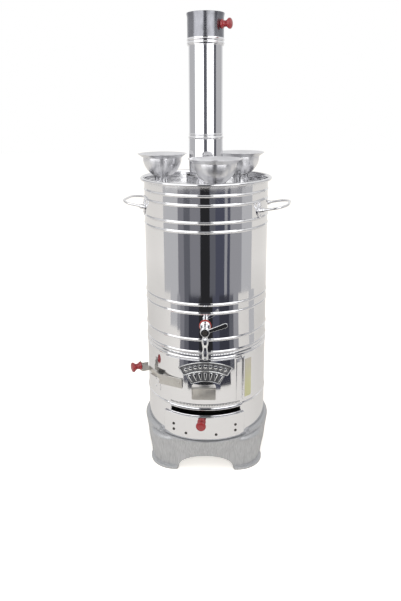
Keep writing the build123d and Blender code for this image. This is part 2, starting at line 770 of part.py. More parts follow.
with BuildPart() as drawer_rivets:
    for azimuth, rise in DRAWER_RIVETS:
        rivet(outward(DRAWER_OUT, azimuth, DRAWER_LOW + rise), DRAWER_SHEET)
keep(drawer_rivets, "drawer_rivets")

DRAWER_KNOB_SEAT = sideways(DRAWER_OUT + CONTACT, DRAWER_KNOB_AZ, DRAWER_KNOB_Z)
with BuildPart() as drawer_knob:
    spool_knob(DRAWER_KNOB_SEAT)
keep(drawer_knob, "drawer_knob")

with BuildPart() as drawer_knob_screw:
    knob_screw(DRAWER_KNOB_SEAT, DRAWER_SHEET + CONTACT + HEAD_GAP)
keep(drawer_knob_screw, "drawer_knob_screw")

# ---------------------------------------------------------------- tank and flue
with BuildPart() as tank_floor:
    turned(
        [
            (FLUE_R + CONTACT, TANK_FLOOR_Z),
            (DRUM_IN - FIT - SHEET, TANK_FLOOR_Z),
            (DRUM_IN - FIT - SHEET, TANK_FOOT - SPIGOT),
            (DRUM_IN - FIT, TANK_FOOT - SPIGOT),
            (DRUM_IN - FIT, TANK_FLOOR_Z + SHEET),
            (FLUE_R + CONTACT, TANK_FLOOR_Z + SHEET),
        ]
    )
keep(tank_floor, "tank_floor")

with BuildPart() as flue_tube:
    turned(
        [
            (FLUE_R - FLUE_SHEET, TANK_FLOOR_Z - SHEET),
            (FLUE_R + FLUE_FLANGE, TANK_FLOOR_Z - SHEET),
            (FLUE_R + FLUE_FLANGE, TANK_FLOOR_Z),
            (FLUE_R, TANK_FLOOR_Z),
            (FLUE_R, FLUE_TOP),
            (FLUE_R - FLUE_SHEET, FLUE_TOP),
        ]
    )
keep(flue_tube, "flue_tube")

with BuildPart() as tank_shell:
    wall = beaded_wall(
        DRUM_IN, DRUM_R, TANK_FOOT, DRUM_TOP, TANK_BEADS, BEAD_PROUD, BEAD_WIDTH
    )
    turned(wall)
    roll_r, roll_z = RIM_R - RIM_WIRE, DRUM_TOP + RIM_RISE
    with BuildSketch(Plane.XZ):
        with BuildLine():
            Polyline(
                (DRUM_IN, DRUM_TOP),
                (DRUM_R, DRUM_TOP),
                (roll_r, roll_z - RIM_WIRE / 2),
                (roll_r, roll_z + RIM_WIRE / 2),
                (DRUM_IN, roll_z + RIM_WIRE / 2),
                close=True,
            )
        make_face()
        with Locations((roll_r, roll_z)):
            Circle(RIM_WIRE)
    revolve(axis=Axis.Z)
    drilled(outward(DRUM_R + CUT, 0, TAP_Z), TAP_TUBE_R + RUNNING, SHEET + 2 * CUT)
keep(tank_shell, "tank_shell")

LID_SEAT_Z = DRUM_TOP - LID_SEAT_DROP
with BuildPart() as lid_seat_ring:
    turned(
        [
            (DRUM_IN - LID_SEAT_WIDTH, LID_SEAT_Z - SHEET),
            (DRUM_IN - CONTACT, LID_SEAT_Z - LID_SEAT_HIGH),
            (DRUM_IN - CONTACT, LID_SEAT_Z),
            (DRUM_IN - LID_SEAT_WIDTH, LID_SEAT_Z),
        ]
    )
keep(lid_seat_ring, "lid_seat_ring")

# ---------------------------------------------------------------- lid with its collars
LID_R = DRUM_IN - LID_GAP
LID_EDGE = LID_SEAT_Z + FIT
PAN_TOP = LID_EDGE + LID_SHEET - LID_DROP
PAN_R = DRUM_IN - LID_SEAT_WIDTH - LID_INSET
LID_COLLAR_R = SOCKET_R + COLLAR_GAP
STEAM_COLLAR_TOP = PAN_TOP + STEAM_COLLAR
with BuildPart() as lid:
    turned(
        [
            (LID_COLLAR_R, PAN_TOP - LID_SHEET),
            (PAN_R, PAN_TOP - LID_SHEET),
            (PAN_R + LID_SHEET, LID_EDGE),
            (LID_R, LID_EDGE),
            (LID_R, LID_EDGE + LID_CURL),
            (LID_R - LID_SHEET, LID_EDGE + LID_CURL),
            (LID_R - LID_SHEET, LID_EDGE + LID_SHEET),
            (PAN_R, LID_EDGE + LID_SHEET),
            (PAN_R - LID_SHEET, PAN_TOP),
            (LID_COLLAR_R, PAN_TOP),
        ]
    )
    with BuildSketch(Plane.XY.offset(PAN_TOP - LID_SHEET)):
        with Locations(*[polar(BOWL_RHO, azimuth, 0)[:2] for azimuth in BOWL_AZIMUTHS.values()]):
            Circle(STEAM_R + LID_SHEET)
    extrude(amount=STEAM_COLLAR + LID_SHEET)
    with BuildSketch(Plane.XY.offset(PAN_TOP - 2 * LID_SHEET)):
        with Locations(*[polar(BOWL_RHO, azimuth, 0)[:2] for azimuth in BOWL_AZIMUTHS.values()]):
            Circle(STEAM_R)
    extrude(amount=STEAM_COLLAR + 4 * LID_SHEET, mode=Mode.SUBTRACT)
keep(lid, "lid")

with BuildPart() as lid_collar:
    turned(
        [
            (LID_COLLAR_R, PAN_TOP),
            (LID_COLLAR_R + COLLAR_FLANGE, PAN_TOP),
            (LID_COLLAR_R + COLLAR_FLANGE, PAN_TOP + LID_SHEET),
            (LID_COLLAR_R + 2 * LID_SHEET, PAN_TOP + LID_SHEET),
            (LID_COLLAR_R + LID_SHEET, PAN_TOP + 2 * LID_SHEET),
            (LID_COLLAR_R + LID_SHEET, PAN_TOP + COLLAR_HIGH),
            (LID_COLLAR_R, PAN_TOP + COLLAR_HIGH),
        ]
    )
keep(lid_collar, "lid_collar")

# ---------------------------------------------------------------- bowls, seated in the collars
BOWL_CENTRE = STEAM_COLLAR_TOP + sqrt((BOWL_R + FIT) ** 2 - STEAM_R**2)
BOWL_TOP = BOWL_CENTRE + BOWL_RISE
FLANGE_LOW = BOWL_TOP - BOWL_NECK


def bowl_half(stand, shrink):
    """Half of a bowl on its own upright plane: a round body, a short neck and a flared flange."""
    radius = BOWL_R - shrink
    low = BOWL_CENTRE - radius
    with BuildSketch(stand) as half:
        with BuildLine():
            Line((0, BOWL_TOP), (0, low))
            ThreePointArc(
                (0, low),
                (radius * sin(radians(55)), BOWL_CENTRE - radius * cos(radians(55))),
                (radius, BOWL_CENTRE),
            )
            Polyline(
                (radius, BOWL_CENTRE),
                (radius, FLANGE_LOW + shrink / 2),
                (radius + BOWL_STEP, FLANGE_LOW + (shrink + BOWL_STEP) / 2),
                (BOWL_R + BOWL_FLARE - shrink, BOWL_TOP),
                (0, BOWL_TOP),
            )
        make_face()
    return half.sketch


for name, azimuth in BOWL_AZIMUTHS.items():
    east, north, _ = polar(BOWL_RHO, azimuth, 0)
    stand = Plane(origin=(east, north, 0), x_dir=(1, 0, 0), z_dir=(0, -1, 0))
    upright = Axis((east, north, 0), (0, 0, 1))
    with BuildPart() as bowl:
        revolve(bowl_half(stand, 0), axis=upright)
        revolve(bowl_half(stand, BOWL_SHEET), axis=upright, mode=Mode.SUBTRACT)
    keep(bowl, name)

# ---------------------------------------------------------------- chimney
with BuildPart() as chimney_pipe:
    step = FLUE_TOP + FIT
    swell, ridge = (step + rise for rise in PIPE_BEADS)
    turned(
        [
            (SOCKET_R - PIPE_SHEET, DRUM_TOP + SOCKET_RISE),
            (SOCKET_R, DRUM_TOP + SOCKET_RISE),
            (SOCKET_R, step),
            (SOCKET_R + PIPE_BEAD, swell),
            (SOCKET_R + PIPE_BEAD, swell + PIPE_BEAD_WIDE),
            (PIPE_R, swell + 2 * PIPE_BEAD_WIDE),
            (PIPE_R, ridge),
            (PIPE_R + PIPE_BEAD, ridge + PIPE_BEAD_WIDE / 2),
            (PIPE_R, ridge + PIPE_BEAD_WIDE),
            (PIPE_R, PIPE_TOP),
            (PIPE_R - PIPE_SHEET, PIPE_TOP),
            (PIPE_R - PIPE_SHEET, step),
            (SOCKET_R - PIPE_SHEET, step),
        ]
    )
keep(chimney_pipe, "chimney_pipe")

CAP_IN = CAP_R - PIPE_SHEET
CHIMNEY_KNOB_Z = CAP_TOP - CHIMNEY_KNOB_DROP


def cap_bead(level):
    """The outline of one bead of the chimney's top."""
    half = CAP_BEAD_WIDE / 2
    return [
        (CAP_R, level - half),
        (CAP_R + PIPE_BEAD, level - half / 3),
        (CAP_R + PIPE_BEAD, level + half / 3),
        (CAP_R, level + half),
    ]


with BuildPart() as chimney_top:
    turned(
        [
            (PIPE_R + CONTACT, CAP_LOW),
            (CAP_R - CAP_EDGE, CAP_LOW),
            (CAP_R, CAP_LOW + CAP_EDGE),
            *cap_bead(CAP_LOW + CAP_BEADS[0]),
            *cap_bead(CAP_LOW + CAP_BEADS[1]),
            (CAP_R, CAP_TOP - CAP_FLARE_HIGH),
            (CAP_R + CAP_FLARE, CAP_TOP - CAP_FLARE),
            (CAP_R + CAP_FLARE, CAP_TOP),
            (CAP_R + CAP_FLARE - PIPE_SHEET, CAP_TOP),
            (CAP_IN, CAP_TOP - CAP_FLARE_HIGH),
            (CAP_IN, PIPE_TOP),
            (PIPE_R + CONTACT, PIPE_TOP),
        ]
    )
    drilled(
        outward(CAP_R + CUT, CHIMNEY_KNOB_AZ, CHIMNEY_KNOB_Z), KNOB_SCREW_R + RUNNING, 2 * CUT
    )
keep(chimney_top, "chimney_top")

CHIMNEY_KNOB_SEAT = sideways(CAP_R + CONTACT, CHIMNEY_KNOB_AZ, CHIMNEY_KNOB_Z)
with BuildPart() as chimney_knob:
    spool_knob(CHIMNEY_KNOB_SEAT)
    ring(0, CAP_R + CONTACT, CAP_LOW, CAP_TOP, mode=Mode.SUBTRACT)
keep(chimney_knob, "chimney_knob")

with BuildPart() as chimney_knob_screw:
    knob_screw(CHIMNEY_KNOB_SEAT, PIPE_SHEET + CONTACT + 2 * HEAD_GAP)
keep(chimney_knob_screw, "chimney_knob_screw")

# ---------------------------------------------------------------- tap
TAP_AXIS = Axis((0, 0, TAP_Z), (0, -1, 0))
TAP_PLANE = Plane(origin=(0, 0, TAP_Z), x_dir=(0, -1, 0), z_dir=(1, 0, 0))
WASHER_BACK = DRUM_R + CONTACT
FLANGE_BACK = WASHER_BACK + TAP_WASHER + CONTACT
TAP_TUBE_END = DRUM_R - TAP_TUBE_IN
SPOUT_NECK, SPOUT_THROAT, SPOUT_SWELL, SPOUT_WAIST, SPOUT_FOOT = (
    TAP_Z - TAP_BARREL_R - down for down in SPOUT_TURNS
)
with BuildPart() as tap_body:
    with BuildSketch(TAP_PLANE):
        with BuildLine():
            Polyline(
                (TAP_TUBE_END, 0),
                (TAP_TUBE_END, TAP_TUBE_R),
                (FLANGE_BACK, TAP_TUBE_R),
                (FLANGE_BACK, TAP_FLANGE_R),
                (FLANGE_BACK + TAP_FLANGE, TAP_FLANGE_R),
                (FLANGE_BACK + TAP_FLANGE + TAP_SHOULDER, TAP_BARREL_R - TAP_SHOULDER / 2),
                (SPOUT_AT - TAP_BARREL_R, TAP_BARREL_R),
                (TAP_BARREL_TO, TAP_BARREL_R),
                (TAP_BARREL_TO, 0),
                close=True,
            )
        make_face()
    revolve(axis=TAP_AXIS)
    spout_plane = Plane(origin=(0, -SPOUT_AT, 0), x_dir=(1, 0, 0), z_dir=(0, -1, 0))
    with BuildSketch(spout_plane):
        with BuildLine():
            Polyline(
                (0, TAP_Z),
                (SPOUT_NECK_R, TAP_Z),
                (SPOUT_NECK_R, SPOUT_NECK),
                (SPOUT_THROAT_R, SPOUT_THROAT),
            )
            ThreePointArc(
                (SPOUT_THROAT_R, SPOUT_THROAT),
                (SPOUT_SWELL_R, SPOUT_SWELL),
                (SPOUT_WAIST_R, SPOUT_WAIST),
            )
            Polyline(
                (SPOUT_WAIST_R, SPOUT_WAIST),
                (SPOUT_R, SPOUT_FOOT),
                (SPOUT_R, SPOUT_LOW + SPOUT_LIP),
                (SPOUT_R - SPOUT_LIP_DRAW, SPOUT_LOW),
                (0, SPOUT_LOW),
                (0, TAP_Z),
            )
        make_face()
    revolve(axis=Axis((0, -SPOUT_AT, 0), (0, 0, 1)))
    for radius, top in ((SPOUT_BORE_R, SPOUT_LOW + SPOUT_BORE), (SPOUT_WAY_R, TAP_Z)):
        with BuildSketch(Plane.XY.offset(SPOUT_LOW)):
            with Locations((0, -SPOUT_AT)):
                Circle(radius)
        extrude(amount=top - SPOUT_LOW, mode=Mode.SUBTRACT)
    drilled(outward(TAP_BARREL_TO, 0, TAP_Z), PLUG_R, TAP_BARREL_TO - PLUG_BACK)
    drilled(outward(PLUG_BACK, 0, TAP_Z), TAP_WATER_R, PLUG_BACK - TAP_TUBE_END)
keep(tap_body, "tap_body")

with BuildPart() as tap_washer:
    with BuildSketch(outward(WASHER_BACK, 0, TAP_Z)):
        Circle(TAP_WASHER_R)
        Circle(TAP_TUBE_R + RUNNING, mode=Mode.SUBTRACT)
    extrude(amount=TAP_WASHER)
keep(tap_washer, "tap_washer")

SEAL_FACE = sqrt(DRUM_IN**2 - TAP_NUT_R**2) - CONTACT
with BuildPart() as tap_seal:
    with BuildSketch(outward(SEAL_FACE, 0, TAP_Z)):
        Circle(TAP_NUT_R)
        Circle(TAP_TUBE_R + RUNNING, mode=Mode.SUBTRACT)
    extrude(amount=-TAP_SEAL)
keep(tap_seal, "tap_seal")

with BuildPart() as tap_backnut:
    with BuildSketch(outward(SEAL_FACE - TAP_SEAL, 0, TAP_Z)):
        RegularPolygon(TAP_NUT_R, 6)
        Circle(TAP_TUBE_R + RUNNING, mode=Mode.SUBTRACT)
    extrude(amount=-TAP_NUT)
keep(tap_backnut, "tap_backnut")

with BuildPart() as tap_gland:
    with BuildSketch(outward(TAP_BARREL_TO, 0, TAP_Z)):
        Circle(TAP_BARREL_R + GLAND_PROUD)
        Circle(STEM_R + RUNNING, mode=Mode.SUBTRACT)
    extrude(amount=GLAND)
    chamfer(tap_gland.edges().filter_by(GeomType.CIRCLE).sort_by(SortBy.RADIUS)[-1], GLAND_EDGE)
keep(tap_gland, "tap_gland")

with BuildPart() as tap_plug:
    with BuildSketch(outward(PLUG_BACK + FIT, 0, TAP_Z)):
        Circle(PLUG_R - RUNNING)
    extrude(amount=TAP_BARREL_TO - PLUG_BACK - 2 * FIT)
    with BuildSketch(outward(TAP_BARREL_TO - FIT, 0, TAP_Z)):
        Circle(STEM_R)
    extrude(amount=GLAND + LEVER_HUB + FIT)
    with BuildSketch(outward(SPOUT_AT + TAP_WATER_R, 0, TAP_Z)):
        Circle(TAP_WATER_R)
    extrude(amount=-(TAP_WATER_R + SPOUT_AT - PLUG_BACK), mode=Mode.SUBTRACT)
    with BuildSketch(Plane(origin=(0, -SPOUT_AT, TAP_Z), x_dir=(0, 1, 0), z_dir=(-1, 0, 0))):
        Circle(SPOUT_WAY_R)
    extrude(amount=PLUG_R, mode=Mode.SUBTRACT)
keep(tap_plug, "tap_plug")

LEVER_BACK = TAP_BARREL_TO + GLAND + FIT
with BuildPart() as tap_lever:
    with BuildSketch(outward(LEVER_BACK, 0, TAP_Z)):
        Circle(TAP_BARREL_R)
        Circle(STEM_R + RUNNING, mode=Mode.SUBTRACT)
    extrude(amount=LEVER_HUB)
    lean = radians(TAP_LEVER_TILT)
    paddle_plane = Plane(
        origin=(0, -LEVER_BACK, TAP_Z), x_dir=(cos(lean), 0, sin(lean)), z_dir=(0, -1, 0)
    )
    with BuildSketch(paddle_plane) as paddle:
        with BuildLine():
            Polyline(
                (TAP_BARREL_R - TAP_LEVER_SINK, TAP_LEVER_ROOT / 2),
                (TAP_LEVER_LONG, TAP_LEVER_TIP / 2),
                (TAP_LEVER_LONG, -TAP_LEVER_TIP / 2),
                (TAP_BARREL_R - TAP_LEVER_SINK, -TAP_LEVER_ROOT / 2),
                close=True,
            )
        make_face()
        fillet(paddle.vertices().sort_by(Axis.X)[-2:], TAP_LEVER_CORNER)
    extrude(amount=TAP_LEVER_THICK)
keep(tap_lever, "tap_lever")

with BuildPart() as tap_screw:
    with BuildSketch(outward(LEVER_BACK + LEVER_HUB, 0, TAP_Z)):
        Circle(TAP_SCREW_R)
    extrude(amount=TAP_SCREW_HEAD)
    chamfer(tap_screw.edges().group_by(Axis.Y)[0], TAP_SCREW_EDGE)
keep(tap_screw, "tap_screw")

# ---------------------------------------------------------------- carrying handles
BRACKET_FACE = DRUM_R + CONTACT + BRACKET_THICK
for name, azimuth in HANDLE_AZIMUTHS.items():
    angle, tilt = radians(azimuth), radians(HANDLE_TILT)
    along = Vector(sin(angle) * cos(tilt), -cos(angle) * cos(tilt), sin(tilt))
    across = Vector(cos(angle), sin(angle), 0)
    grip = Plane(
        origin=polar(HANDLE_START, azimuth, HANDLE_Z), x_dir=along, z_dir=along.cross(across)
    )
    with BuildPart() as handle_bar:
        with BuildLine(grip) as grip_line:
            FilletPolyline(
                (BRACKET_BOSS / 2, -HANDLE_HALF),
                (HANDLE_SHOULDER, -HANDLE_HALF),
                (HANDLE_REACH, -HANDLE_TIP_HALF),
                (HANDLE_REACH, HANDLE_TIP_HALF),
                (HANDLE_SHOULDER, HANDLE_HALF),
                (BRACKET_BOSS / 2, HANDLE_HALF),
                radius=HANDLE_BEND,
            )
        with BuildSketch(Plane(origin=grip_line.line @ 0, z_dir=grip_line.line % 0)):
            Circle(HANDLE_ROD_R)
        sweep(path=grip_line.line)
    keep(handle_bar, f"handle_bar_{name}")

    turn = degrees(atan2(HANDLE_HALF, HANDLE_START))
    for side, end in ((-1, "a"), (1, "b")):
        foot_az = azimuth + side * turn
        boss_plane = Plane(
            origin=grip.from_local_coords((-BRACKET_BOSS, side * HANDLE_HALF, 0)), z_dir=along
        )
        with BuildPart() as bracket:
            with BuildSketch(outward(DRUM_IN - CUT, foot_az, HANDLE_Z)):
                with BuildLine():
                    half_wide, half_high = BRACKET_WIDE / 2, BRACKET_HIGH / 2
                    ThreePointArc((0, half_high), (half_wide, 0), (0, -half_high))
                    ThreePointArc((0, -half_high), (-half_wide, 0), (0, half_high))
                make_face()
            extrude(amount=2 * CUT + BRACKET_THICK)
            ring(0, BRACKET_FACE, HANDLE_Z - BRACKET_HIGH, HANDLE_Z + BRACKET_HIGH, Mode.INTERSECT)
            with BuildSketch(boss_plane):
                Circle(BRACKET_BOSS_R)
            extrude(amount=2 * BRACKET_BOSS)
            ring(0, DRUM_R + CONTACT, TANK_FOOT, DRUM_TOP, mode=Mode.SUBTRACT)
            for level in TANK_BEADS:
                over = BEAD_WIDTH / 2 + CONTACT
                proud = DRUM_R + BEAD_PROUD + CONTACT
                ring(DRUM_IN, proud, level - over, level + over, mode=Mode.SUBTRACT)
            with BuildSketch(boss_plane.offset(1.5 * BRACKET_BOSS)):
                Circle(HANDLE_ROD_R + CONTACT)
            extrude(amount=BRACKET_BOSS, mode=Mode.SUBTRACT)
            for height in (-1, 1):
                drilled(
                    outward(
                        BRACKET_FACE + CUT,
                        foot_az,
                        HANDLE_Z + height * BRACKET_HIGH * BRACKET_RIVETS,
                    ),
                    RIVET_R + RUNNING,
                    BRACKET_THICK + 2 * CUT,
                )
        keep(bracket, f"handle_bracket_{name}_{end}")

with BuildPart() as handle_rivets:
    for azimuth in HANDLE_AZIMUTHS.values():
        for side in (-1, 1):
            for height in (-1, 1):
                rivet(
                    outward(
                        BRACKET_FACE,
                        azimuth + side * turn,
                        HANDLE_Z + height * BRACKET_HIGH * BRACKET_RIVETS,
                    ),
                    BRACKET_THICK,
                )
keep(handle_rivets, "handle_rivets")

# ---------------------------------------------------------------- fire door
FLAP_TOP = DOOR_LOW + FLAP_RISE
VENT_Z = FLAP_TOP - FLAP_HIGH / 2 - VENT_DROP
LATCH_Z = DOOR_LOW + LATCH_RISE
with BuildPart() as door_panel:
    sector(DOOR_IN, DOOR_OUT, DOOR_FROM, DOOR_TO, DOOR_LOW, DOOR_HIGH)
    with BuildSketch(outward(DOOR_OUT + CUT, FLAP_AZ, VENT_Z)):
        Rectangle(VENT_WIDE, VENT_HIGH)
    extrude(amount=-(DOOR_SHEET + 3 * CUT), mode=Mode.SUBTRACT)
    drilled(
        outward(DOOR_OUT + CUT, LATCH_AZ, LATCH_Z),
        LATCH_RIVET_R + RUNNING,
        DOOR_SHEET + 2 * CUT,
    )
keep(door_panel, "door_panel")

HINGE_AZ = DOOR_TO + HINGE_TURN
HINGE_R = DOOR_OUT + HINGE_STAND
LEAF_LOW, LEAF_HIGH = DOOR_LOW + HINGE_END, DOOR_HIGH - HINGE_END
KNUCKLE = (LEAF_HIGH - LEAF_LOW) / KNUCKLES
PIN_X, PIN_Y, _ = polar(HINGE_R, HINGE_AZ, 0)


def hinge_sheet(inner, outer, turns, low=LEAF_LOW, high=LEAF_HIGH):
    """A strip of hinge sheet between two azimuths that are counted from the pin."""
    sector(inner, outer, HINGE_AZ + turns[0], HINGE_AZ + turns[1], low, high)


def knuckles(first, tab):
    """Every second knuckle of the hinge, each with its tab to the leaf, bored for the pin."""
    for index in range(first, KNUCKLES, 2):
        low = LEAF_LOW + index * KNUCKLE + KNUCKLE_GAP / 2
        with BuildSketch(Plane.XY.offset(low)) as barrel:
            with Locations((PIN_X, PIN_Y)):
                Circle(KNUCKLE_R)
        extrude(barrel.sketch, amount=KNUCKLE - KNUCKLE_GAP)
        hinge_sheet(LEAF_IN, LEAF_IN + LEAF, tab, low, low + KNUCKLE - KNUCKLE_GAP)
    with BuildSketch(Plane.XY.offset(LEAF_LOW)) as bore:
        with Locations((PIN_X, PIN_Y)):
            Circle(PIN_R + RUNNING)
    extrude(bore.sketch, amount=LEAF_HIGH - LEAF_LOW, mode=Mode.SUBTRACT)


LEAF_IN = DOOR_OUT + CONTACT
with BuildPart() as hinge_leaf_door:
    hinge_sheet(LEAF_IN, LEAF_IN + LEAF, DOOR_LEAF)
    knuckles(0, DOOR_TAB)
keep(hinge_leaf_door, "hinge_leaf_door")

with BuildPart() as hinge_leaf_fixed:
    foot_in = DRUM_R + CONTACT
    hinge_sheet(foot_in, foot_in + LEAF, DRUM_LEAF)
    hinge_sheet(foot_in, LEAF_IN + LEAF, DRUM_STEP)
    knuckles(1, DRUM_TAB)
keep(hinge_leaf_fixed, "hinge_leaf_fixed")

with BuildPart() as hinge_pin:
    with BuildSketch(Plane.XY.offset(LEAF_LOW - PIN_END)):
        with Locations((PIN_X, PIN_Y)):
            Circle(PIN_R)
    extrude(amount=LEAF_HIGH - LEAF_LOW + 2 * PIN_END)
keep(hinge_pin, "hinge_pin")

# ---------------------------------------------------------------- badge on the door
BADGE_FACE = Plane.XZ.offset(DOOR_OUT + 2 * CUT)
BADGE_CENTRE = DOOR_HIGH - BADGE_DROP - BADGE_R


def arched(inner, outer, half, border=0):
    """A sector of a ring round the badge's centre; with a border, only its frame is left."""
    with BuildSketch(BADGE_FACE) as band:
        with BuildLine():
            near = CenterArc((0, BADGE_CENTRE), inner, 90 - half, 2 * half)
            far = CenterArc((0, BADGE_CENTRE), outer, 90 - half, 2 * half)
            Line(near @ 0, far @ 0)
            Line(near @ 1, far @ 1)
        make_face()
        if border > 0:
            offset(amount=-border, mode=Mode.SUBTRACT)
    return band.sketch


FAN_R = BADGE_R - BADGE_BAND
with BuildPart() as badge_plate:
    extrude(arched(FAN_R, BADGE_R, BADGE_HALF), amount=-BADGE_DEPTH)
    extrude(arched(FAN_R - FAN_BAND, FAN_R + BADGE_BORDER, FAN_HALF), amount=-BADGE_DEPTH)
    ring(
        DOOR_OUT + CONTACT,
        DOOR_OUT + CONTACT + BADGE_SHEET,
        DOOR_LOW,
        DOOR_HIGH,
        mode=Mode.INTERSECT,
    )

with BuildPart() as badge_relief:
    extrude(arched(FAN_R, BADGE_R, BADGE_HALF, border=BADGE_BORDER), amount=-BADGE_DEPTH)
    with BuildSketch(BADGE_FACE):
        middle = BADGE_R - BADGE_BAND / 2
        for index in range(BOSSES):
            lean = radians((index - (BOSSES - 1) / 2) * 2 * (BADGE_HALF - PATTERN_END) / BOSSES)
            with Locations((middle * sin(lean), BADGE_CENTRE + middle * cos(lean))):
                Circle(BOSS_R)
    extrude(amount=-BADGE_DEPTH)
    with BuildSketch(BADGE_FACE):
        tall = FAN_BAND - 2 * FLUTE_END
        slope = degrees(atan2(tall, (FLUTE_WIDE - FLUTE_TIP) / 2))
        for index in range(FLUTES):
            lean = (index - (FLUTES - 1) / 2) * 2 * (FAN_HALF - PATTERN_END) / (FLUTES - 1)
            middle = FAN_R - FAN_BAND / 2
            spot = (middle * sin(radians(lean)), BADGE_CENTRE + middle * cos(radians(lean)))
            with Locations(Location((*spot, 0), (0, 0, -lean))):
                Trapezoid(FLUTE_WIDE, tall, slope)
    extrude(amount=-BADGE_DEPTH)
    ring(
        DOOR_OUT + CONTACT,
        DOOR_OUT + CONTACT + BADGE_SHEET + RELIEF,
        DOOR_LOW,
        DOOR_HIGH,
        mode=Mode.INTERSECT,
    )

with BuildPart() as door_badge:
    add(badge_plate.part)
    add(badge_relief.part)
keep(door_badge, "door_badge")

# ---------------------------------------------------------------- draught flap
FLAP_BACK = DOOR_OUT + FLAP_STAND
FLAP_PIN_Z = FLAP_TOP - 2 * FLAP_PIN_R
FLAP_PIN_AT = FLAP_BACK + FLAP_SHEET / 2
FLAP_HINGE = outward(FLAP_PIN_AT, FLAP_AZ, FLAP_PIN_Z)
FLAP_PIN_AXIS = FLAP_HINGE.x_dir


def across_flap(half, radius, mode=Mode.ADD):
    """A rod along the flap's pin, that far each side of its middle."""
    with BuildSketch(Plane(origin=FLAP_HINGE.origin, z_dir=FLAP_PIN_AXIS)) as end:
        Circle(radius)
    extrude(end.sketch, amount=half, both=True, mode=mode)


with BuildPart() as flap_frame:
    with BuildSketch(outward(DOOR_OUT - 2 * CUT, FLAP_AZ, FLAP_TOP - FLAP_HIGH / 2)):
        for side in (-1, 1):
            with Locations((side * (FLAP_WIDE / 2 + CHEEK_GAP + CHEEK / 2), HOOD_OVER)):
                Rectangle(CHEEK, FLAP_HIGH)
        with Locations((0, FLAP_HIGH / 2 + HOOD_OVER - CHEEK / 2)):
            Rectangle(FLAP_WIDE + 2 * CHEEK_GAP + 2 * CHEEK, CHEEK)
    extrude(amount=2 * CUT + FLAP_STAND + FLAP_SHEET + CHEEK_PROUD)
    ring(0, DOOR_OUT + CONTACT, DOOR_LOW, DOOR_HIGH, mode=Mode.SUBTRACT)
    across_flap(FLAP_WIDE, FLAP_PIN_R + RUNNING, Mode.SUBTRACT)
keep(flap_frame, "flap_frame")

with BuildPart() as flap_pin:
    across_flap(FLAP_WIDE / 2 + CHEEK_GAP + CHEEK + FLAP_PIN_END, FLAP_PIN_R)
keep(flap_pin, "flap_pin")

with BuildPart() as draught_flap:
    with BuildSketch(outward(FLAP_BACK, FLAP_AZ, FLAP_PIN_Z)):
        with Locations((0, -(FLAP_HIGH - 2 * FLAP_PIN_R) / 2)):
            Rectangle(FLAP_WIDE, FLAP_HIGH - 2 * FLAP_PIN_R)
    extrude(amount=FLAP_SHEET)
    across_flap(FLAP_WIDE / 2, FLAP_PIN_R + FLAP_CURL)
    across_flap(FLAP_WIDE, FLAP_PIN_R + RUNNING, Mode.SUBTRACT)
keep(draught_flap, "draught_flap")

# ---------------------------------------------------------------- latch
LEVER_IN = DOOR_OUT + LEVER_GAP
LATCH_ANGLE = radians(LATCH_AZ)
LATCH_FRAME = Plane(
    origin=polar(LEVER_IN, LATCH_AZ, 0),
    x_dir=(-cos(LATCH_ANGLE), -sin(LATCH_ANGLE), 0),
    z_dir=(0, 0, 1),
)
STRIP_LOW = LATCH_Z + LEVER_HIGH / 2 - STRIP_HIGH
TAB_RUN = Vector(TAB_END[0] - STRIP_END[0], TAB_END[1] - STRIP_END[1]).normalized()
LIP_RUN = Vector(TAB_RUN.Y, -TAB_RUN.X)
TAB_FOOT = Vector(*STRIP_END) + TAB_RUN * 2 * LEVER
LIP_END = Vector(*TAB_END) + LIP_RUN * TAB_LIP
LIP_MIDDLE = Vector(*TAB_END) + LIP_RUN * (TAB_LIP / 2) + TAB_RUN * LEVER
LATCH_KNOB_Z = STRIP_LOW + TAB_HIGH / 2
KNOB_OUT = LATCH_FRAME.x_dir * TAB_RUN.X + LATCH_FRAME.y_dir * TAB_RUN.Y
LIP_FACE = Plane(
    origin=LATCH_FRAME.from_local_coords((LIP_MIDDLE.X, LIP_MIDDLE.Y, LATCH_KNOB_Z)),
    x_dir=(0, 0, 1),
    z_dir=KNOB_OUT,
)


def bent_strip(low, high, *path):
    """A strip of the lever's sheet that stands on edge and follows a path in plan."""
    with BuildSketch(LATCH_FRAME.offset(low)) as edge:
        with BuildLine():
            FilletPolyline(*path, radius=LEVER_BEND)
            offset(amount=LEVER, side=Side.LEFT)
        make_face()
    extrude(edge.sketch, amount=high - low)


with BuildPart() as latch_lever:
    start = (LEVER_BAR - LEVER_TAIL, 0)
    bent_strip(STRIP_LOW, STRIP_LOW + STRIP_HIGH, start, (LEVER_BAR, 0), STRIP_END, TAB_END)
    bent_strip(STRIP_LOW, STRIP_LOW + TAB_HIGH, TAB_FOOT, TAB_END, LIP_END)
    with BuildSketch(LATCH_FRAME.offset(LATCH_Z - LEVER_HIGH / 2)):
        with Locations(((LEVER_BAR - LEVER_TAIL) / 2, LEVER / 2)):
            Rectangle(LEVER_BAR + LEVER_TAIL, LEVER)
    extrude(amount=LEVER_HIGH)
    drilled(
        outward(LEVER_IN + LEVER + CUT, LATCH_AZ, LATCH_Z),
        LATCH_RIVET_R + RUNNING,
        LEVER + 2 * CUT,
    )
    drilled(LIP_FACE.offset(LEVER / 2), KNOB_SCREW_R + RUNNING, 2 * LEVER)
keep(latch_lever, "latch_lever")

LATCH_KNOB_SEAT = Plane(
    origin=LIP_FACE.origin + KNOB_OUT * CONTACT,
    x_dir=KNOB_OUT,
    z_dir=KNOB_OUT.cross(Vector(0, 0, 1)),
)
with BuildPart() as latch_knob:
    spool_knob(LATCH_KNOB_SEAT)
keep(latch_knob, "latch_knob")

with BuildPart() as latch_knob_screw:
    knob_screw(LATCH_KNOB_SEAT, LEVER + 2 * CONTACT)
keep(latch_knob_screw, "latch_knob_screw")

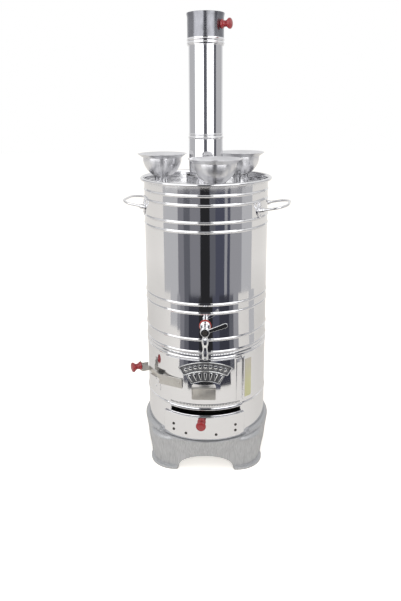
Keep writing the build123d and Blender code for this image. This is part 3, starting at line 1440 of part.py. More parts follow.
LATCH_HEAD_R = LATCH_RIVET_R + LATCH_HEAD
LATCH_OUT = LEVER_IN + LEVER + CONTACT
with BuildPart() as latch_rivet:
    with BuildSketch(outward(DOOR_IN - HEAD_GAP, LATCH_AZ, LATCH_Z)):
        Circle(LATCH_HEAD_R)
    extrude(amount=HEAD_GAP - DOOR_GAP)
    with BuildSketch(outward(DOOR_IN - DOOR_GAP, LATCH_AZ, LATCH_Z)):
        Circle(LATCH_RIVET_R)
    extrude(amount=LATCH_OUT + LATCH_HEAD / 2 - DOOR_IN + DOOR_GAP)
    with BuildSketch(outward(LATCH_OUT, LATCH_AZ, LATCH_Z)):
        Circle(LATCH_HEAD_R)
    extrude(amount=LATCH_HEAD, taper=RIVET_DRAFT)
keep(latch_rivet, "latch_rivet")

KEEPER_LOW = DOOR_LOW + KEEPER_RISE
KEEPER_TOP = STRIP_LOW - FIT
with BuildPart() as latch_keeper:
    back, face = DRUM_R + CONTACT, DRUM_R + CONTACT + KEEPER_SHEET
    reach = DRUM_R + KEEPER_DEPTH
    sector(back, face, KEEPER_FROM, KEEPER_TO, KEEPER_LOW, KEEPER_TOP)
    sector(back, reach, KEEPER_FROM, KEEPER_TO, KEEPER_TOP - KEEPER_SHEET, KEEPER_TOP)
    for azimuth, rise in KEEPER_RIVETS:
        drilled(outward(face + CUT, azimuth, KEEPER_LOW + rise), RIVET_R + RUNNING, 2 * CUT)
keep(latch_keeper, "latch_keeper")

with BuildPart() as keeper_rivets:
    for azimuth, rise in KEEPER_RIVETS:
        rivet(outward(face + CONTACT, azimuth, KEEPER_LOW + rise), KEEPER_SHEET)
keep(keeper_rivets, "keeper_rivets")

# ---------------------------------------------------------------- label
with BuildPart() as label_plate:
    near, low = DRUM_R + CONTACT, DOOR_LOW + LABEL_RISE
    sector(near, near + LABEL_SHEET, LABEL_FROM, LABEL_TO, low, low + LABEL_HEIGHT)
keep(label_plate, "label_plate")

if __name__ == "__main__":
    os.makedirs("parts", exist_ok=True)
    for name, piece in PIECES.items():
        export_step(piece, f"parts/{name}.step")
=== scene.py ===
"""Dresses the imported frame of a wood-fired samovar: polished drum, cast base, tap, bowls and chimney.

Millimetres are turned to metres by MM. The drum's axis is Z, the ground is z = 0 and the front faces -Y.
An azimuth is in degrees from the front towards +X.
"""

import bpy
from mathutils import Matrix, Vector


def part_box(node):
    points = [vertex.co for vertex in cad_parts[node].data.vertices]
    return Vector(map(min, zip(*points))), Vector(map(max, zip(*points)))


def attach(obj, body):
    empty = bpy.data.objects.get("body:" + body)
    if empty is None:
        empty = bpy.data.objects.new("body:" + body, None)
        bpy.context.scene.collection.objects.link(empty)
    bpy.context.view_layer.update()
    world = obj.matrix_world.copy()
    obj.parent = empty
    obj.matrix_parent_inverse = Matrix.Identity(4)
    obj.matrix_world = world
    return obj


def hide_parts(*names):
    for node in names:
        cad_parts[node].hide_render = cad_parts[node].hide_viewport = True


bl_info = {
    "name": "Wood-Fired Samovar",
    "version": (1, 0, 0),
    "blender": (4, 5, 0),
    "location": "View3D > Sidebar > Samovar",
    "description": "Dresses a wood-fired samovar in its finished surfaces and lights it",
    "category": "Add Mesh",
}

import bmesh
import bpy
import numpy as np
from bpy.props import FloatProperty, FloatVectorProperty, IntProperty, PointerProperty, StringProperty
from bpy.types import Operator, Panel, PropertyGroup

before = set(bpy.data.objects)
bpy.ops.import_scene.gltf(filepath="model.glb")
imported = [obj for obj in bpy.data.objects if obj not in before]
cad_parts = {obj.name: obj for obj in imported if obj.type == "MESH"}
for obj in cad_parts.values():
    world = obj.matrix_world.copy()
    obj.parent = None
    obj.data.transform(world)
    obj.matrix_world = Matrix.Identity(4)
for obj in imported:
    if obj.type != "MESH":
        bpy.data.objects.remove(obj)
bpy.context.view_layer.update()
MM = 0.001
FULL = 360.0
GAP = 0.05 * MM  # between a piece and the sheet that it lies on


def length(name, description, millimetres):
    """A length property that is given in millimetres."""
    return FloatProperty(name=name, description=description, default=millimetres * MM, unit="LENGTH")


def number(name, description, value):
    """A property with a plain number: an angle in degrees, or a strength."""
    return FloatProperty(name=name, description=description, default=value)


def numbers(name, description, values, unit="NONE"):
    """A property with a row of numbers."""
    return FloatVectorProperty(
        name=name, description=description, default=values, size=len(values), unit=unit
    )


def colour(name, description, value):
    """A colour property that holds an sRGB hex value."""
    return StringProperty(name=name, description=description, default=value)


# ---------------------------------------------------------------- sizes and colours
class SamovarDrum(PropertyGroup):
    """Sizes of the firebox and the tank."""

    radius: length("Radius", "Outside radius of the drum", 175.0)
    sheet: length("Sheet", "Thickness of the drum's sheet", 1.5)
    foot: length("Foot", "Height at which the drum stands in the base", 90.0)
    seam: length("Seam", "Height of the seam between firebox and tank", 362.0)
    top: length("Top", "Height of the tank's upper edge", 820.0)
    rim_radius: length("Rim radius", "Outside radius of the rolled rim", 186.0)
    rim_wire: length("Rim wire", "Radius of the roll", 4.5)
    bead_proud: length("Bead", "How far a rolled bead stands out", 2.0)
    bead_width: length("Bead width", "Height of a rolled bead", 9.0)
    firebox_beads: numbers("Firebox beads", "Heights of the firebox's beads", (0.200, 0.349), "LENGTH")
    tank_beads: numbers(
        "Tank beads", "Heights of the tank's beads",
        (0.368, 0.404, 0.479, 0.503, 0.700, 0.7245, 0.770, 0.795), "LENGTH",
    )


class SamovarBase(PropertyGroup):
    """Sizes of the cast base."""

    top: length("Top", "Height of the base's shoulder", 112.0)
    notch: length("Notch", "Height of the edge below the drawer", 101.5)
    radius: length("Radius", "Radius under the shoulder", 187.0)
    foot_radius: length("Foot radius", "Radius at the ground", 180.0)
    shoulder: length("Shoulder", "Radius of the shoulder's curve", 10.0)
    wall: length("Wall", "Thickness of the casting", 6.0)
    lobe_reach: length("Lobe reach", "Distance of a corner lobe's axis from the drum's", 125.0)
    lobe_top_radius: length("Lobe top", "Radius of a lobe under its shoulder", 74.0)
    lobe_foot_radius: length("Lobe foot", "Radius of a lobe above its lip", 67.0)
    lobe_top: length("Lobe height", "Height of a lobe", 100.5)
    lip: length("Lip", "How far the foot's lip stands out", 8.0)
    lip_height: length("Lip height", "Height of the foot's lip", 9.0)
    ramp: number("Ramp", "Run of the shoulder's slope down to the notch", 6.0)
    arch_half: length("Arch half width", "Half the width of an arch", 81.0)
    arch_height: length("Arch height", "Height of an arch", 54.0)


class SamovarDoor(PropertyGroup):
    """Sizes of the fire door, its badge, flap and latch."""

    inner: length("Inner radius", "Radius of the door's inner face", 176.2)
    outer: length("Outer radius", "Radius of the door's outer face", 178.0)
    start: number("Left edge", "Azimuth of the left edge", -39.5)
    end: number("Right edge", "Azimuth of the right edge", 33.5)
    low: length("Low", "Height of the lower edge", 214.0)
    high: length("High", "Height of the upper edge", 343.0)
    hinge: number("Hinge", "Azimuth of the hinge's pin", 35.7)
    hinge_radius: length("Hinge radius", "Distance of the pin from the drum's axis", 180.4)
    knuckle: length("Knuckle", "Radius of a knuckle", 2.6)
    knuckles: IntProperty(name="Knuckles", description="Number of knuckles", default=9)
    badge_radius: length("Badge radius", "Radius of the badge's arch", 135.5)
    badge_band: length("Badge band", "Width of the arched band", 27.5)
    badge_top: length("Badge top", "Height of the arch's top", 341.0)
    badge_half: number("Badge half", "Half angle of the band", 34.0)
    fan_band: length("Fan band", "Width of the fan under the band", 30.0)
    fan_half: number("Fan half", "Half angle of the fan", 30.0)


class SamovarTop(PropertyGroup):
    """Sizes of the bowls and the chimney."""

    sheet: length("Sheet", "Thickness of the bowls' and the chimney's sheet", 1.2)
    bowl_reach: length("Bowl reach", "Distance of a bowl's axis from the drum's", 134.0)
    bowl_azimuths: numbers("Bowl azimuths", "Front, right and left bowl", (11.4, 131.4, -108.6))
    bowl_radius: length("Bowl radius", "Radius of a bowl's round body", 56.0)
    bowl_centre: length("Bowl centre", "Height of the round body's centre", 875.8)
    pipe: length("Pipe", "Radius of the chimney's pipe", 46.5)
    pipe_top: length("Pipe top", "Height of the pipe's upper end", 1205.0)
    socket: length("Socket", "Radius of the chimney's socket", 47.5)
    socket_low: length("Socket low", "Height of the socket's lower end", 837.0)
    socket_high: length("Socket high", "Height of the socket's upper end", 932.3)
    cap: length("Cap", "Radius of the chimney's top", 49.5)
    cap_low: length("Cap low", "Height of the chimney top's lower end", 1178.0)
    knob_azimuth: number("Knob azimuth", "Azimuth of the chimney's knob", 62.0)
    knob_height: length("Knob height", "Height of the chimney's knob", 1231.0)


class SamovarTap(PropertyGroup):
    """Sizes of the tap."""

    height: length("Height", "Height of the tap's axis", 445.0)
    spout_at: length("Spout", "Distance of the spout from the drum's axis", 203.0)
    spout_low: length("Spout low", "Height of the spout's mouth", 361.0)
    lever_tilt: number("Lever tilt", "Angle of the lever above the level", 20.0)


class SamovarHandles(PropertyGroup):
    """Sizes of the carrying handles."""

    azimuth: number("Azimuth", "Azimuth of the right handle; the left one is opposite", 79.0)
    height: length("Height", "Height of the wire's feet", 745.0)
    half: length("Half width", "Half the distance between the feet", 68.5)
    root: length("Root", "Distance of the handle's own zero from the drum's axis", 165.0)
    reach: length("Reach", "How far the wire stands out from there", 72.0)
    tilt: number("Tilt", "How far the wire rises outwards", 10.0)
    wire: length("Wire", "Radius of the wire", 3.5)
    leaf: length("Leaf", "Thickness of a leaf bracket", 3.5)


class SamovarColours(PropertyGroup):
    """Colours of the finishes, as sRGB hex values."""

    polished: colour("Polished steel", "Mirror-polished stainless steel", "#E4E4E6")
    satin: colour("Satin steel", "Spun and satin stainless steel", "#E6E6E8")
    galvanised: colour("Galvanised", "Zinc-dipped sheet", "#D2D0CB")
    scuffed: colour("Scuffed steel", "Stainless sheet, dulled by smoke", "#9A9BA1")
    cast: colour("Cast aluminium", "Sand-cast and brushed aluminium", "#CFD0D2")
    chrome: colour("Chrome", "Bright chrome plate", "#E6E7E8")
    iron: colour("Cast iron", "Raw cast iron", "#4A4643")
    knob: colour("Knob", "Glossy red phenolic", "#A9363A")
    washer: colour("Washer", "Red fibre", "#B8343A")
    label: colour("Label", "Paper of the label", "#D0CFA2")
    soot: colour("Soot", "Smoked steel inside the fire", "#2B2927")
    # This dark grey is the badge's ground, and also the painted shade of the pressed dashes on the drum.
    patina_and_painted_shade: colour("Dark ground", "Dark ground of the badge", "#6B6C6F")


class SamovarStage(PropertyGroup):
    """Sizes and colours of the floor, cards and camera."""

    floor: colour("Floor", "Floor and backdrop", "#F6F3EE")
    distance: length("Camera distance", "Level distance of the camera from the drum's axis", 1633.4)
    height: length("Camera height", "Height of the camera", 1019.8)
    azimuth: number("Camera azimuth", "Azimuth at which the camera stands", 1.0)
    pitch: number("Pitch", "How far the camera looks down", 13.054)
    yaw: number("Yaw", "Turn of the camera", 1.510)
    roll: number("Roll", "Roll of the camera", 0.283)
    lens: number("Lens", "Focal length in millimetres", 34.55)
    shift: number("Shift", "Vertical shift of the lens", -0.1007)
    card_radius: length("Card radius", "Distance of the cards from the drum's axis", 1750.0)
    box_light: number("Soft boxes", "Strength of the soft boxes", 1.9)
    world_light: number("World", "Level light on the object", 0.5)
    world_shown: number("World shown", "World as the metal shows it", 0.88)
    floor_seen: number("Floor seen", "Glow of the floor to the camera", 0.75)
    floor_shown: number("Floor shown", "Glow of the near floor in the metal", 0.17)
    floor_shown_far: number("Far floor shown", "Glow of the far floor", 0.42)


# ---------------------------------------------------------------- places and shapes, in numpy
def around(radius, azimuth, height):
    """Points at a radius, azimuth and height: x = r sin a, y = -r cos a. The three broadcast."""
    angle = np.radians(azimuth)
    x, y, z = np.broadcast_arrays(radius * np.sin(angle), -radius * np.cos(angle), height)
    return np.stack([x, y, z], axis=-1)


def axes_out(azimuth, lean=0.0):
    """Unit vectors across and out of the drum at an azimuth; the one out rises by the lean."""
    angle, tilt = np.radians(azimuth), np.radians(lean)
    across = np.array([np.cos(angle), np.sin(angle), 0.0])
    level = np.array([np.sin(angle), -np.cos(angle), 0.0])
    return across, level * np.cos(tilt) + np.array([0.0, 0.0, np.sin(tilt)])


def rounded(corners, radius, steps=5, closed=False):
    """An outline with its corners rounded: each corner becomes a quadratic curve between two points
    that lie one radius, or just under half a side, along the sides that meet there."""
    corners = np.asarray(corners, float)
    inner = corners if closed else corners[1:-1]
    before = np.roll(corners, 1, axis=0) if closed else corners[:-2]
    after = np.roll(corners, -1, axis=0) if closed else corners[2:]
    t = np.linspace(0, 1, steps)[None, :, None]

    def towards(other):
        side = other - inner
        far = np.linalg.norm(side, axis=1, keepdims=True)
        return inner + side * np.minimum(radius / far, 0.45)

    start, end = towards(before)[:, None], towards(after)[:, None]
    curve = (1 - t) ** 2 * start + 2 * t * (1 - t) * inner[:, None] + t**2 * end
    curve = curve.reshape(-1, corners.shape[1])
    return curve if closed else np.vstack([corners[:1], curve, corners[-1:]])


def divided(line, step):
    """A polyline with more points: its sides are cut into equal runs of about one step."""
    line = np.asarray(line, float)
    far = np.linalg.norm(np.diff(line, axis=0), axis=1)
    along = np.concatenate([[0], np.cumsum(far)])
    spots = np.union1d(along, np.linspace(0, along[-1], int(along[-1] / step) + 2))
    return np.stack([np.interp(spots, along, line[:, k]) for k in range(line.shape[1])], axis=1)


def grid(points, wrap_u=False, wrap_v=False, keep=None):
    """Vertices and quads of a surface that is given as a grid of points (u, v). A wrapped side joins
    its last row to its first; keep says which quads stay."""
    rows, columns = points.shape[:2]
    index = np.arange(rows * columns).reshape(rows, columns)
    index = np.vstack([index, index[:1]]) if wrap_u else index
    index = np.hstack([index, index[:, :1]]) if wrap_v else index
    quads = np.stack([index[:-1, :-1], index[1:, :-1], index[1:, 1:], index[:-1, 1:]], axis=-1)
    quads = quads.reshape(-1, 4) if keep is None else quads[keep]
    return points.reshape(-1, 3), quads


def lathe(profile, sides, origin=(0, 0, 0), along=(0, 0, 1), closed=True):
    """A turned form: a profile of (radius, distance along the axis) carried round the axis, so that
    each point is origin + along * distance + radius * (first cos t + second sin t)."""
    profile = np.asarray(profile, float)
    along = np.asarray(along, float) / np.linalg.norm(along)
    helper = np.array([1.0, 0, 0]) if abs(along[0]) < 0.8 else np.array([0, 1.0, 0])
    first = np.cross(along, helper)
    first /= np.linalg.norm(first)
    second = np.cross(along, first)
    turn = np.linspace(0, 2 * np.pi, sides, endpoint=False)[:, None, None]
    spoke = first * np.cos(turn) + second * np.sin(turn)
    points = np.asarray(origin) + along * profile[None, :, 1:2] + spoke * profile[None, :, 0:1]
    return grid(points, wrap_u=True, wrap_v=closed)


def tube(path, radius, sides):
    """A rod along a flat path: at each point its ring is path + radius * (first cos t + second sin t),
    where second stands on the path's plane. Its ends are closed by a small dome."""
    path = np.asarray(path, float)
    tangent = np.gradient(path, axis=0)
    tangent /= np.linalg.norm(tangent, axis=1, keepdims=True)
    second = np.linalg.svd(path - path.mean(axis=0))[2][2]
    first = np.cross(second, tangent)
    first /= np.linalg.norm(first, axis=1, keepdims=True)
    quarter = np.linspace(0.05, np.pi / 2, 4)
    dome, depth = np.sin(quarter), radius * (1 - np.cos(quarter))[:, None]
    start = path[0] - tangent[0] * (radius - depth[::-1]) / 2
    end = path[-1] + tangent[-1] * (radius - depth) / 2
    radii = radius * np.concatenate([dome, np.ones(len(path)), dome[::-1]])
    path = np.concatenate([start, path, end])
    first = np.concatenate([first[:1].repeat(4, 0), first, first[-1:].repeat(4, 0)])
    turn = np.linspace(0, 2 * np.pi, sides, endpoint=False)[None, :, None]
    ring = first[:, None] * np.cos(turn) + second * np.sin(turn)
    points = path[:, None] + radii[:, None, None] * ring
    ends = [path[:1].repeat(sides, 0)[None], points, path[-1:].repeat(sides, 0)[None]]
    return grid(np.concatenate(ends), wrap_v=True)


def joined(shells):
    """Several shells of vertices and quads as one."""
    counts = np.cumsum([0] + [len(points) for points, _ in shells])
    points = np.vstack([points for points, _ in shells])
    quads = np.vstack([quads + start for (_, quads), start in zip(shells, counts)])
    return points, quads


def slab(outline, low, high, place, edge=0.0, steps=3):
    """A flat or bent plate: an outline is drawn in by the edge's radius at each face, as a rounded edge
    is, and place(u, v, w) puts it in space. Its two faces are filled to their middle."""
    outline = np.asarray(outline, float)
    middle = (outline.max(axis=0) + outline.min(axis=0)) / 2
    half = (outline.max(axis=0) - outline.min(axis=0)) / 2
    quarter = np.linspace(0, np.pi / 2, steps)
    draw = np.concatenate([edge * (1 - np.sin(quarter)), edge * (1 - np.cos(quarter))])
    rise = np.concatenate([low + edge * (1 - np.cos(quarter)), high - edge * (1 - np.sin(quarter))])
    inset = (1 - draw[:, None] / half)[:, None, :]
    ring = middle + (outline - middle)[None] * inset
    fills = np.linspace(1, 0, 6)[1:, None, None]
    low_face = middle + (ring[0] - middle)[None] * fills[::-1]
    high_face = middle + (ring[-1] - middle)[None] * fills
    flat = np.concatenate([low_face, ring, high_face])
    rows = len(fills)
    heights = np.concatenate([np.full(rows, low), rise, np.full(rows, high)])[:, None]
    points = place(flat[..., 0], flat[..., 1], np.broadcast_to(heights, flat.shape[:2]))
    return grid(points, wrap_v=True)


def on_drum(azimuth, height):
    """A place function for plates that are bent round the drum: u runs across on the surface, v up,
    and w is the radius."""
    def place(u, v, w):
        return around(w, azimuth + np.degrees(u / w), height + v)
    return place


def on_plane(origin, across, up, out):
    """A place function for flat plates: origin + u across + v up + w out."""
    def place(u, v, w):
        return origin + u[..., None] * across + v[..., None] * up + w[..., None] * out
    return place


def box_outline(width, height, corner):
    """A rectangle about its middle, with rounded corners and divided sides."""
    u, v = width / 2, height / 2
    line = rounded([(-u, -v), (u, -v), (u, v), (-u, v)], corner, closed=True)
    return divided(np.vstack([line, line[:1]]), 8 * MM)[:-1]


def turned(profile, corner, steps, sides, origin, along=(0, 0, 1), closed=True):
    """A turned part whose profile is given in millimetres, with its corners rounded."""
    line = rounded(np.array(profile) * MM, corner * MM, steps, closed)
    return lathe(line, sides, origin, along, closed)


def bent_plate(span, heights, faces, corner, edge, steps=3, at=None):
    """A plate bent round the drum between two azimuths, two heights and two radii, with rounded corners
    and edges. Its width is the arc's length at a radius, the inner face's if none is given."""
    width = (faces[0] if at is None else at) * np.radians(span[1] - span[0])
    outline = box_outline(width, heights[1] - heights[0], corner)
    return slab(outline, *faces, on_drum(sum(span) / 2, sum(heights) / 2), edge, steps)


def outside_windows(u, v, windows):
    """Which quads between the lines u and v of a grid lie outside every window (u, u, v, v)."""
    mid_u, mid_v = ((u[:-1] + u[1:]) / 2)[:, None], ((v[:-1] + v[1:]) / 2)[None]
    keep = np.ones((len(u) - 1, len(v) - 1), bool)
    for start, end, low, high in windows:
        keep &= ~((mid_u > start) & (mid_u < end) & (mid_v > low) & (mid_v < high))
    return keep


def knob_shell(origin, out):
    """A turned spool knob, 28 mm long: a neck, a waist, a rim and a softly domed end."""
    profile = (
        (0.0, 0.0), (11.4, 0.0), (12.0, 0.6), (12.0, 2.4), (11.0, 3.4), (9.0, 6.0), (8.1, 9.0),
        (8.0, 11.8), (8.6, 14.4), (10.2, 17.2), (12.4, 19.6), (13.7, 21.2), (14.0, 22.6),
        (14.0, 24.2), (13.3, 25.7), (11.5, 26.8), (8.4, 27.6), (4.5, 27.95), (0.0, 28.0),
    )
    return turned(profile, 1.6, 3, 48, origin, out, closed=False)


def rivet_head(origin, out, radius=4.0, rise=1.6):
    """A rivet's head in millimetres: a shallow dome, radius cos t by rise sin t, on a short edge."""
    turn = np.linspace(0, np.pi / 2, 8)
    dome = np.stack([radius * np.cos(turn), 0.3 + (rise - 0.3) * np.sin(turn)], axis=1)
    profile = np.vstack([[(0, -0.2), (radius, -0.2)], dome]) * MM
    return lathe(profile, 24, origin, out, closed=False)


def rivet_heads(radius, spots, size=4.0):
    """Rivets' heads on the drum at azimuths and heights, as one shell."""
    return joined([rivet_head(around(radius, a, z), axes_out(a)[1], size) for a, z in spots])


# ---------------------------------------------------------------- finished pieces
def new_mesh(name, shell):
    """A mesh from a shell of vertices and quads."""
    mesh = bpy.data.meshes.new(name)
    mesh.from_pydata(shell[0].tolist(), [], shell[1].tolist())
    return mesh


def new_object(name, data):
    """An object at the origin, linked to the scene."""
    item = bpy.data.objects.new(name, data)
    bpy.context.scene.collection.objects.link(item)
    return item


def cleaned(mesh, outwards=True, flats=False):
    """Merges a mesh's doubles, melts its slivers, or the seams inside its flats, and points its faces
    outwards."""
    work = bmesh.new()
    work.from_mesh(mesh)
    bmesh.ops.remove_doubles(work, verts=work.verts, dist=0.01 * MM)
    if flats:
        bmesh.ops.dissolve_limit(
            work, angle_limit=np.radians(1.0), verts=work.verts, edges=work.edges, delimit={"NORMAL"}
        )
    else:
        bmesh.ops.dissolve_degenerate(work, edges=work.edges, dist=0.005 * MM)
    if outwards:
        bmesh.ops.recalc_face_normals(work, faces=work.faces)
    work.to_mesh(mesh)
    work.free()
    return mesh


def put(name, mesh, body, material, replaces, sharp, wall=None, edge=None):
    """Puts a clean mesh in the scene: smooth up to an edge angle, with a wall's thickness or rounded
    edges (radius, angle) where they are given, and says what it rides on and its nodes."""
    mesh.shade_smooth()
    mesh.set_sharp_from_angle(angle=np.radians(sharp))
    mesh.materials.clear()
    mesh.materials.append(material)
    piece = new_object(name, mesh)
    if wall:
        solid = piece.modifiers.new("wall", "SOLIDIFY")
        solid.thickness, solid.offset = wall, -1.0
    if edge:
        bevel = piece.modifiers.new("edge", "BEVEL")
        bevel.width, bevel.segments, bevel.limit_method = edge[0], 2, "ANGLE"
        bevel.angle_limit, bevel.harden_normals = np.radians(edge[1]), True
    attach(piece, body)
    if replaces:
        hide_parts(*replaces)


def add_piece(name, shell, body, material, replaces=(), sharp=40.0, wall=None, edge=None):
    """A piece from a shell of vertices and quads. A sheet that gets a wall keeps its grid's own side."""
    mesh = cleaned(new_mesh(name, shell), outwards=not wall)
    put(name, mesh, body, material, replaces, sharp, wall, edge)


def softened(node, body, material, radius=0.3 * MM):
    """A piece made from a copy of a CAD node, with its edges rounded."""
    mesh = cleaned(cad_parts[node].data.copy(), flats=True)
    put(f"dressed_{node}", mesh, body, material, [node], 30, edge=(radius, 35))


# ---------------------------------------------------------------- materials
# Noise lies mostly between these two values, so they are spread to a full range.
SPREAD = {"From Min": 0.3, "From Max": 0.7}


def linear(value):
    """Linear RGBA from an sRGB hex value."""
    srgb = np.array([int(value[k:k + 2], 16) for k in (1, 3, 5)]) / 255.0
    return (*np.where(srgb <= 0.04045, srgb / 12.92, ((srgb + 0.055) / 1.055) ** 2.4), 1.0)


def fill(node, inputs):
    """Fills a node's inputs with values, or with links from a socket or a node's first output."""
    for key, value in inputs.items():
        if isinstance(value, bpy.types.Node):
            value = value.outputs[0]
        if isinstance(value, bpy.types.NodeSocket):
            node.id_data.links.new(value, node.inputs[key])
        else:
            node.inputs[key].default_value = value


def add_node(tree, kind, inputs=None, **settings):
    """Adds a node of a kind, with its settings, values and links."""
    node = tree.nodes.new(f"ShaderNode{kind}")
    for name, value in settings.items():
        setattr(node, name, value)
    fill(node, inputs or {})
    return node


def finish(colour_name, metallic, roughness):
    """Makes a material's function from one that adds its pattern. The material has that function's
    name, is made once, and holds its plain values on the shader's own sockets."""
    def wrap(add_pattern):
        def made():
            name = add_pattern.__name__
            if name in bpy.data.materials:
                return bpy.data.materials[name]
            colours = bpy.context.scene.samovar_colours
            material = bpy.data.materials.new(name)
            material.use_nodes = True
            tree = material.node_tree
            shader = tree.nodes["Principled BSDF"]
            base = linear(getattr(colours, colour_name))
            fill(shader, {"Base Color": base, "Metallic": metallic, "Roughness": roughness})
            place = add_node(tree, "TexCoord").outputs["Object"]
            add_pattern(tree, shader, place, colours)
            return material
        return made
    return wrap


def grains(tree, place, size, detail=2.0, stretch=(1, 1, 1), distortion=0.0):
    """Noise whose grains are a size across in metres, longer along each stretched axis."""
    scaled = add_node(tree, "Mapping", {"Vector": place, "Scale": [1 / s for s in stretch]})
    noise = {"Vector": scaled, "Scale": 1 / size, "Detail": detail, "Distortion": distortion}
    return add_node(tree, "TexNoise", noise)


def mottled(tree, noise, first, second):
    """Noise spread to its full range, and two sRGB hex colours mixed by it."""
    spread = add_node(tree, "MapRange", {**SPREAD, "Value": noise})
    mix = {0: spread, 6: linear(first), 7: linear(second)}
    return spread, add_node(tree, "Mix", mix, data_type="RGBA").outputs[2]


@finish("polished", 1.0, 0.05)
def mirror_polished_steel(tree, shader, place, colours):
    """Stainless sheet, buffed to a mirror: sharp reflections that sway a little where the sheet is
    not quite round, and a thin haze of fingerprints and wiping."""
    sway = grains(tree, place, 90 * MM, 1.0, (1, 1, 3))
    haze = grains(tree, place, 40 * MM, 4.0, (1, 1, 2))
    fill(shader, {
        "Normal": add_node(tree, "Bump", {"Height": sway, "Distance": 0.35 * MM}),
        "Roughness": add_node(
            tree, "MapRange", {**SPREAD, "Value": haze, "To Min": 0.035, "To Max": 0.085}
        ),
    })


@finish("satin", 1.0, 0.31)
def spun_satin_steel(tree, shader, place, colours):
    """Stainless steel, spun and satin-finished: the fine turning lines run round an upright axis, so
    each reflection is drawn out up and down."""
    lines = grains(tree, place, 1.2 * MM, 2.0, (60, 60, 1))
    cloud = grains(tree, place, 60 * MM, 1.0)
    fill(shader, {
        "Anisotropic": 0.8, "Tangent": add_node(tree, "CombineXYZ", {"Z": 1.0}),
        "Normal": add_node(tree, "Bump", {"Height": lines, "Distance": 0.006 * MM}),
        "Roughness": add_node(
            tree, "MapRange", {**SPREAD, "Value": cloud, "To Min": 0.28, "To Max": 0.34}
        ),
    })


@finish("polished", 1.0, 0.14)
def bright_drawn_steel(tree, shader, place, colours):
    """Stainless wire and strip, bright as it was drawn: small scratches along a near mirror."""
    marks = grains(tree, place, 6 * MM, 3.0)
    haze = add_node(tree, "MapRange", {**SPREAD, "Value": marks, "To Min": 0.10, "To Max": 0.20})
    fill(shader, {"Roughness": haze})


@finish("galvanised", 1.0, 0.38)
def galvanised_sheet(tree, shader, place, colours):
    """Zinc-dipped steel sheet: dull grey, with crystals some 9 mm across that catch the light each
    in its own way."""
    crystal = add_node(tree, "TexVoronoi", {"Vector": place, "Scale": 1 / (9 * MM)}).outputs["Color"]
    shade = add_node(tree, "SeparateColor", {"Color": crystal})
    mix = {0: shade, 6: linear("#C7C4BF"), 7: linear(colours.galvanised)}
    fill(shader, {
        "Roughness": add_node(tree, "MapRange", {"Value": shade, "To Min": 0.32, "To Max": 0.42}),
        "Base Color": add_node(tree, "Mix", mix, data_type="RGBA").outputs[2],
    })


@finish("scuffed", 1.0, 0.28)
def scuffed_sheet_steel(tree, shader, place, colours):
    """Stainless sheet, dulled by smoke and handling: half-sharp reflections under a scuffed haze."""
    scuffs, shade = mottled(
        tree, grains(tree, place, 12 * MM, 4.0, (1, 1, 2)), "#86878C", colours.scuffed
    )
    fill(shader, {
        "Base Color": shade,
        "Roughness": add_node(tree, "MapRange", {"Value": scuffs, "To Min": 0.25, "To Max": 0.17}),
    })


@finish("cast", 0.7, 0.5)
def brushed_cast_aluminium(tree, shader, place, colours):
    """Sand-cast aluminium, brushed up and down with a coarse wheel: upright streaks about 1.5 mm wide,
    drawn a little coarser than they are so that they show, over a faintly lumpy skin."""
    streak = grains(tree, place, 1.8 * MM, 3.0, (1, 1, 30), 0.4)
    lumps = grains(tree, place, 25 * MM, 2.0)
    fill(shader, {
        "Normal": add_node(tree, "Bump", {"Height": streak, "Distance": 0.09 * MM, "Strength": 0.5}),
        "Base Color": mottled(tree, streak, "#B0B1B3", colours.cast)[1],
        "Roughness": add_node(
            tree, "MapRange", {**SPREAD, "Value": lumps, "To Min": 0.45, "To Max": 0.55}
        ),
    })


@finish("chrome", 1.0, 0.06)
def chrome_plate(tree, shader, place, colours):
    """Bright chrome on brass: a clean mirror with a slight orange-peel of the polished casting."""
    peel = grains(tree, place, 5 * MM, 1.0)
    bump = add_node(tree, "Bump", {"Height": peel, "Distance": 0.02 * MM})
    fill(shader, {"Normal": bump})


@finish("knob", 0.0, 0.18)
def red_phenolic(tree, shader, place, colours):
    """Moulded red phenolic resin: a hard gloss with a slightly uneven flow of colour."""
    flow = mottled(tree, grains(tree, place, 9 * MM), "#962E32", colours.knob)[1]
    fill(shader, {"Base Color": flow, "Coat Weight": 0.3, "Coat Roughness": 0.08})


@finish("washer", 0.0, 0.6)
def red_fibre(tree, shader, place, colours):
    """Pressed vulcanised fibre: dull red with a fleck of about 1 mm."""
    fleck = mottled(tree, grains(tree, place, 1 * MM), "#9E2A30", colours.washer)[1]
    fill(shader, {"Base Color": fleck})


@finish("iron", 0.6, 0.7)
def raw_cast_iron(tree, shader, place, colours):
    """Cast iron as it left the sand: near black, with a grain of about 2 mm."""
    grain = grains(tree, place, 2 * MM, 3.0)
    mix = {0: grain, 6: linear("#2A2929"), 7: linear(colours.iron)}
    fill(shader, {
        "Normal": add_node(tree, "Bump", {"Height": grain, "Distance": 0.3 * MM}),
        "Base Color": add_node(tree, "Mix", mix, data_type="RGBA").outputs[2],
    })


@finish("soot", 0.7, 0.55)
def sooted_steel(tree, shader, place, colours):
    """Steel inside the firebox, dulled by heat: brown-grey with soot in drifts."""
    drifts = mottled(tree, grains(tree, place, 35 * MM, 4.0), "#6E6A66", colours.soot)[1]
    fill(shader, {"Base Color": drifts})


@finish("patina_and_painted_shade", 0.85, 0.45)
def dark_ground_and_painted_shade(tree, shader, place, colours):
    """The blackened ground of a pressed badge: dull grey-black metal, pebbled about 1.5 mm. The pressed
    dashes on the drum take this dark grey too, and there it is painted shade: the shade and dark
    reflections of marks pressed into polished sheet.
    """
    pebbles = grains(tree, place, 1.5 * MM)
    bump = add_node(tree, "Bump", {"Height": pebbles, "Distance": 0.15 * MM})
    fill(shader, {"Normal": bump})


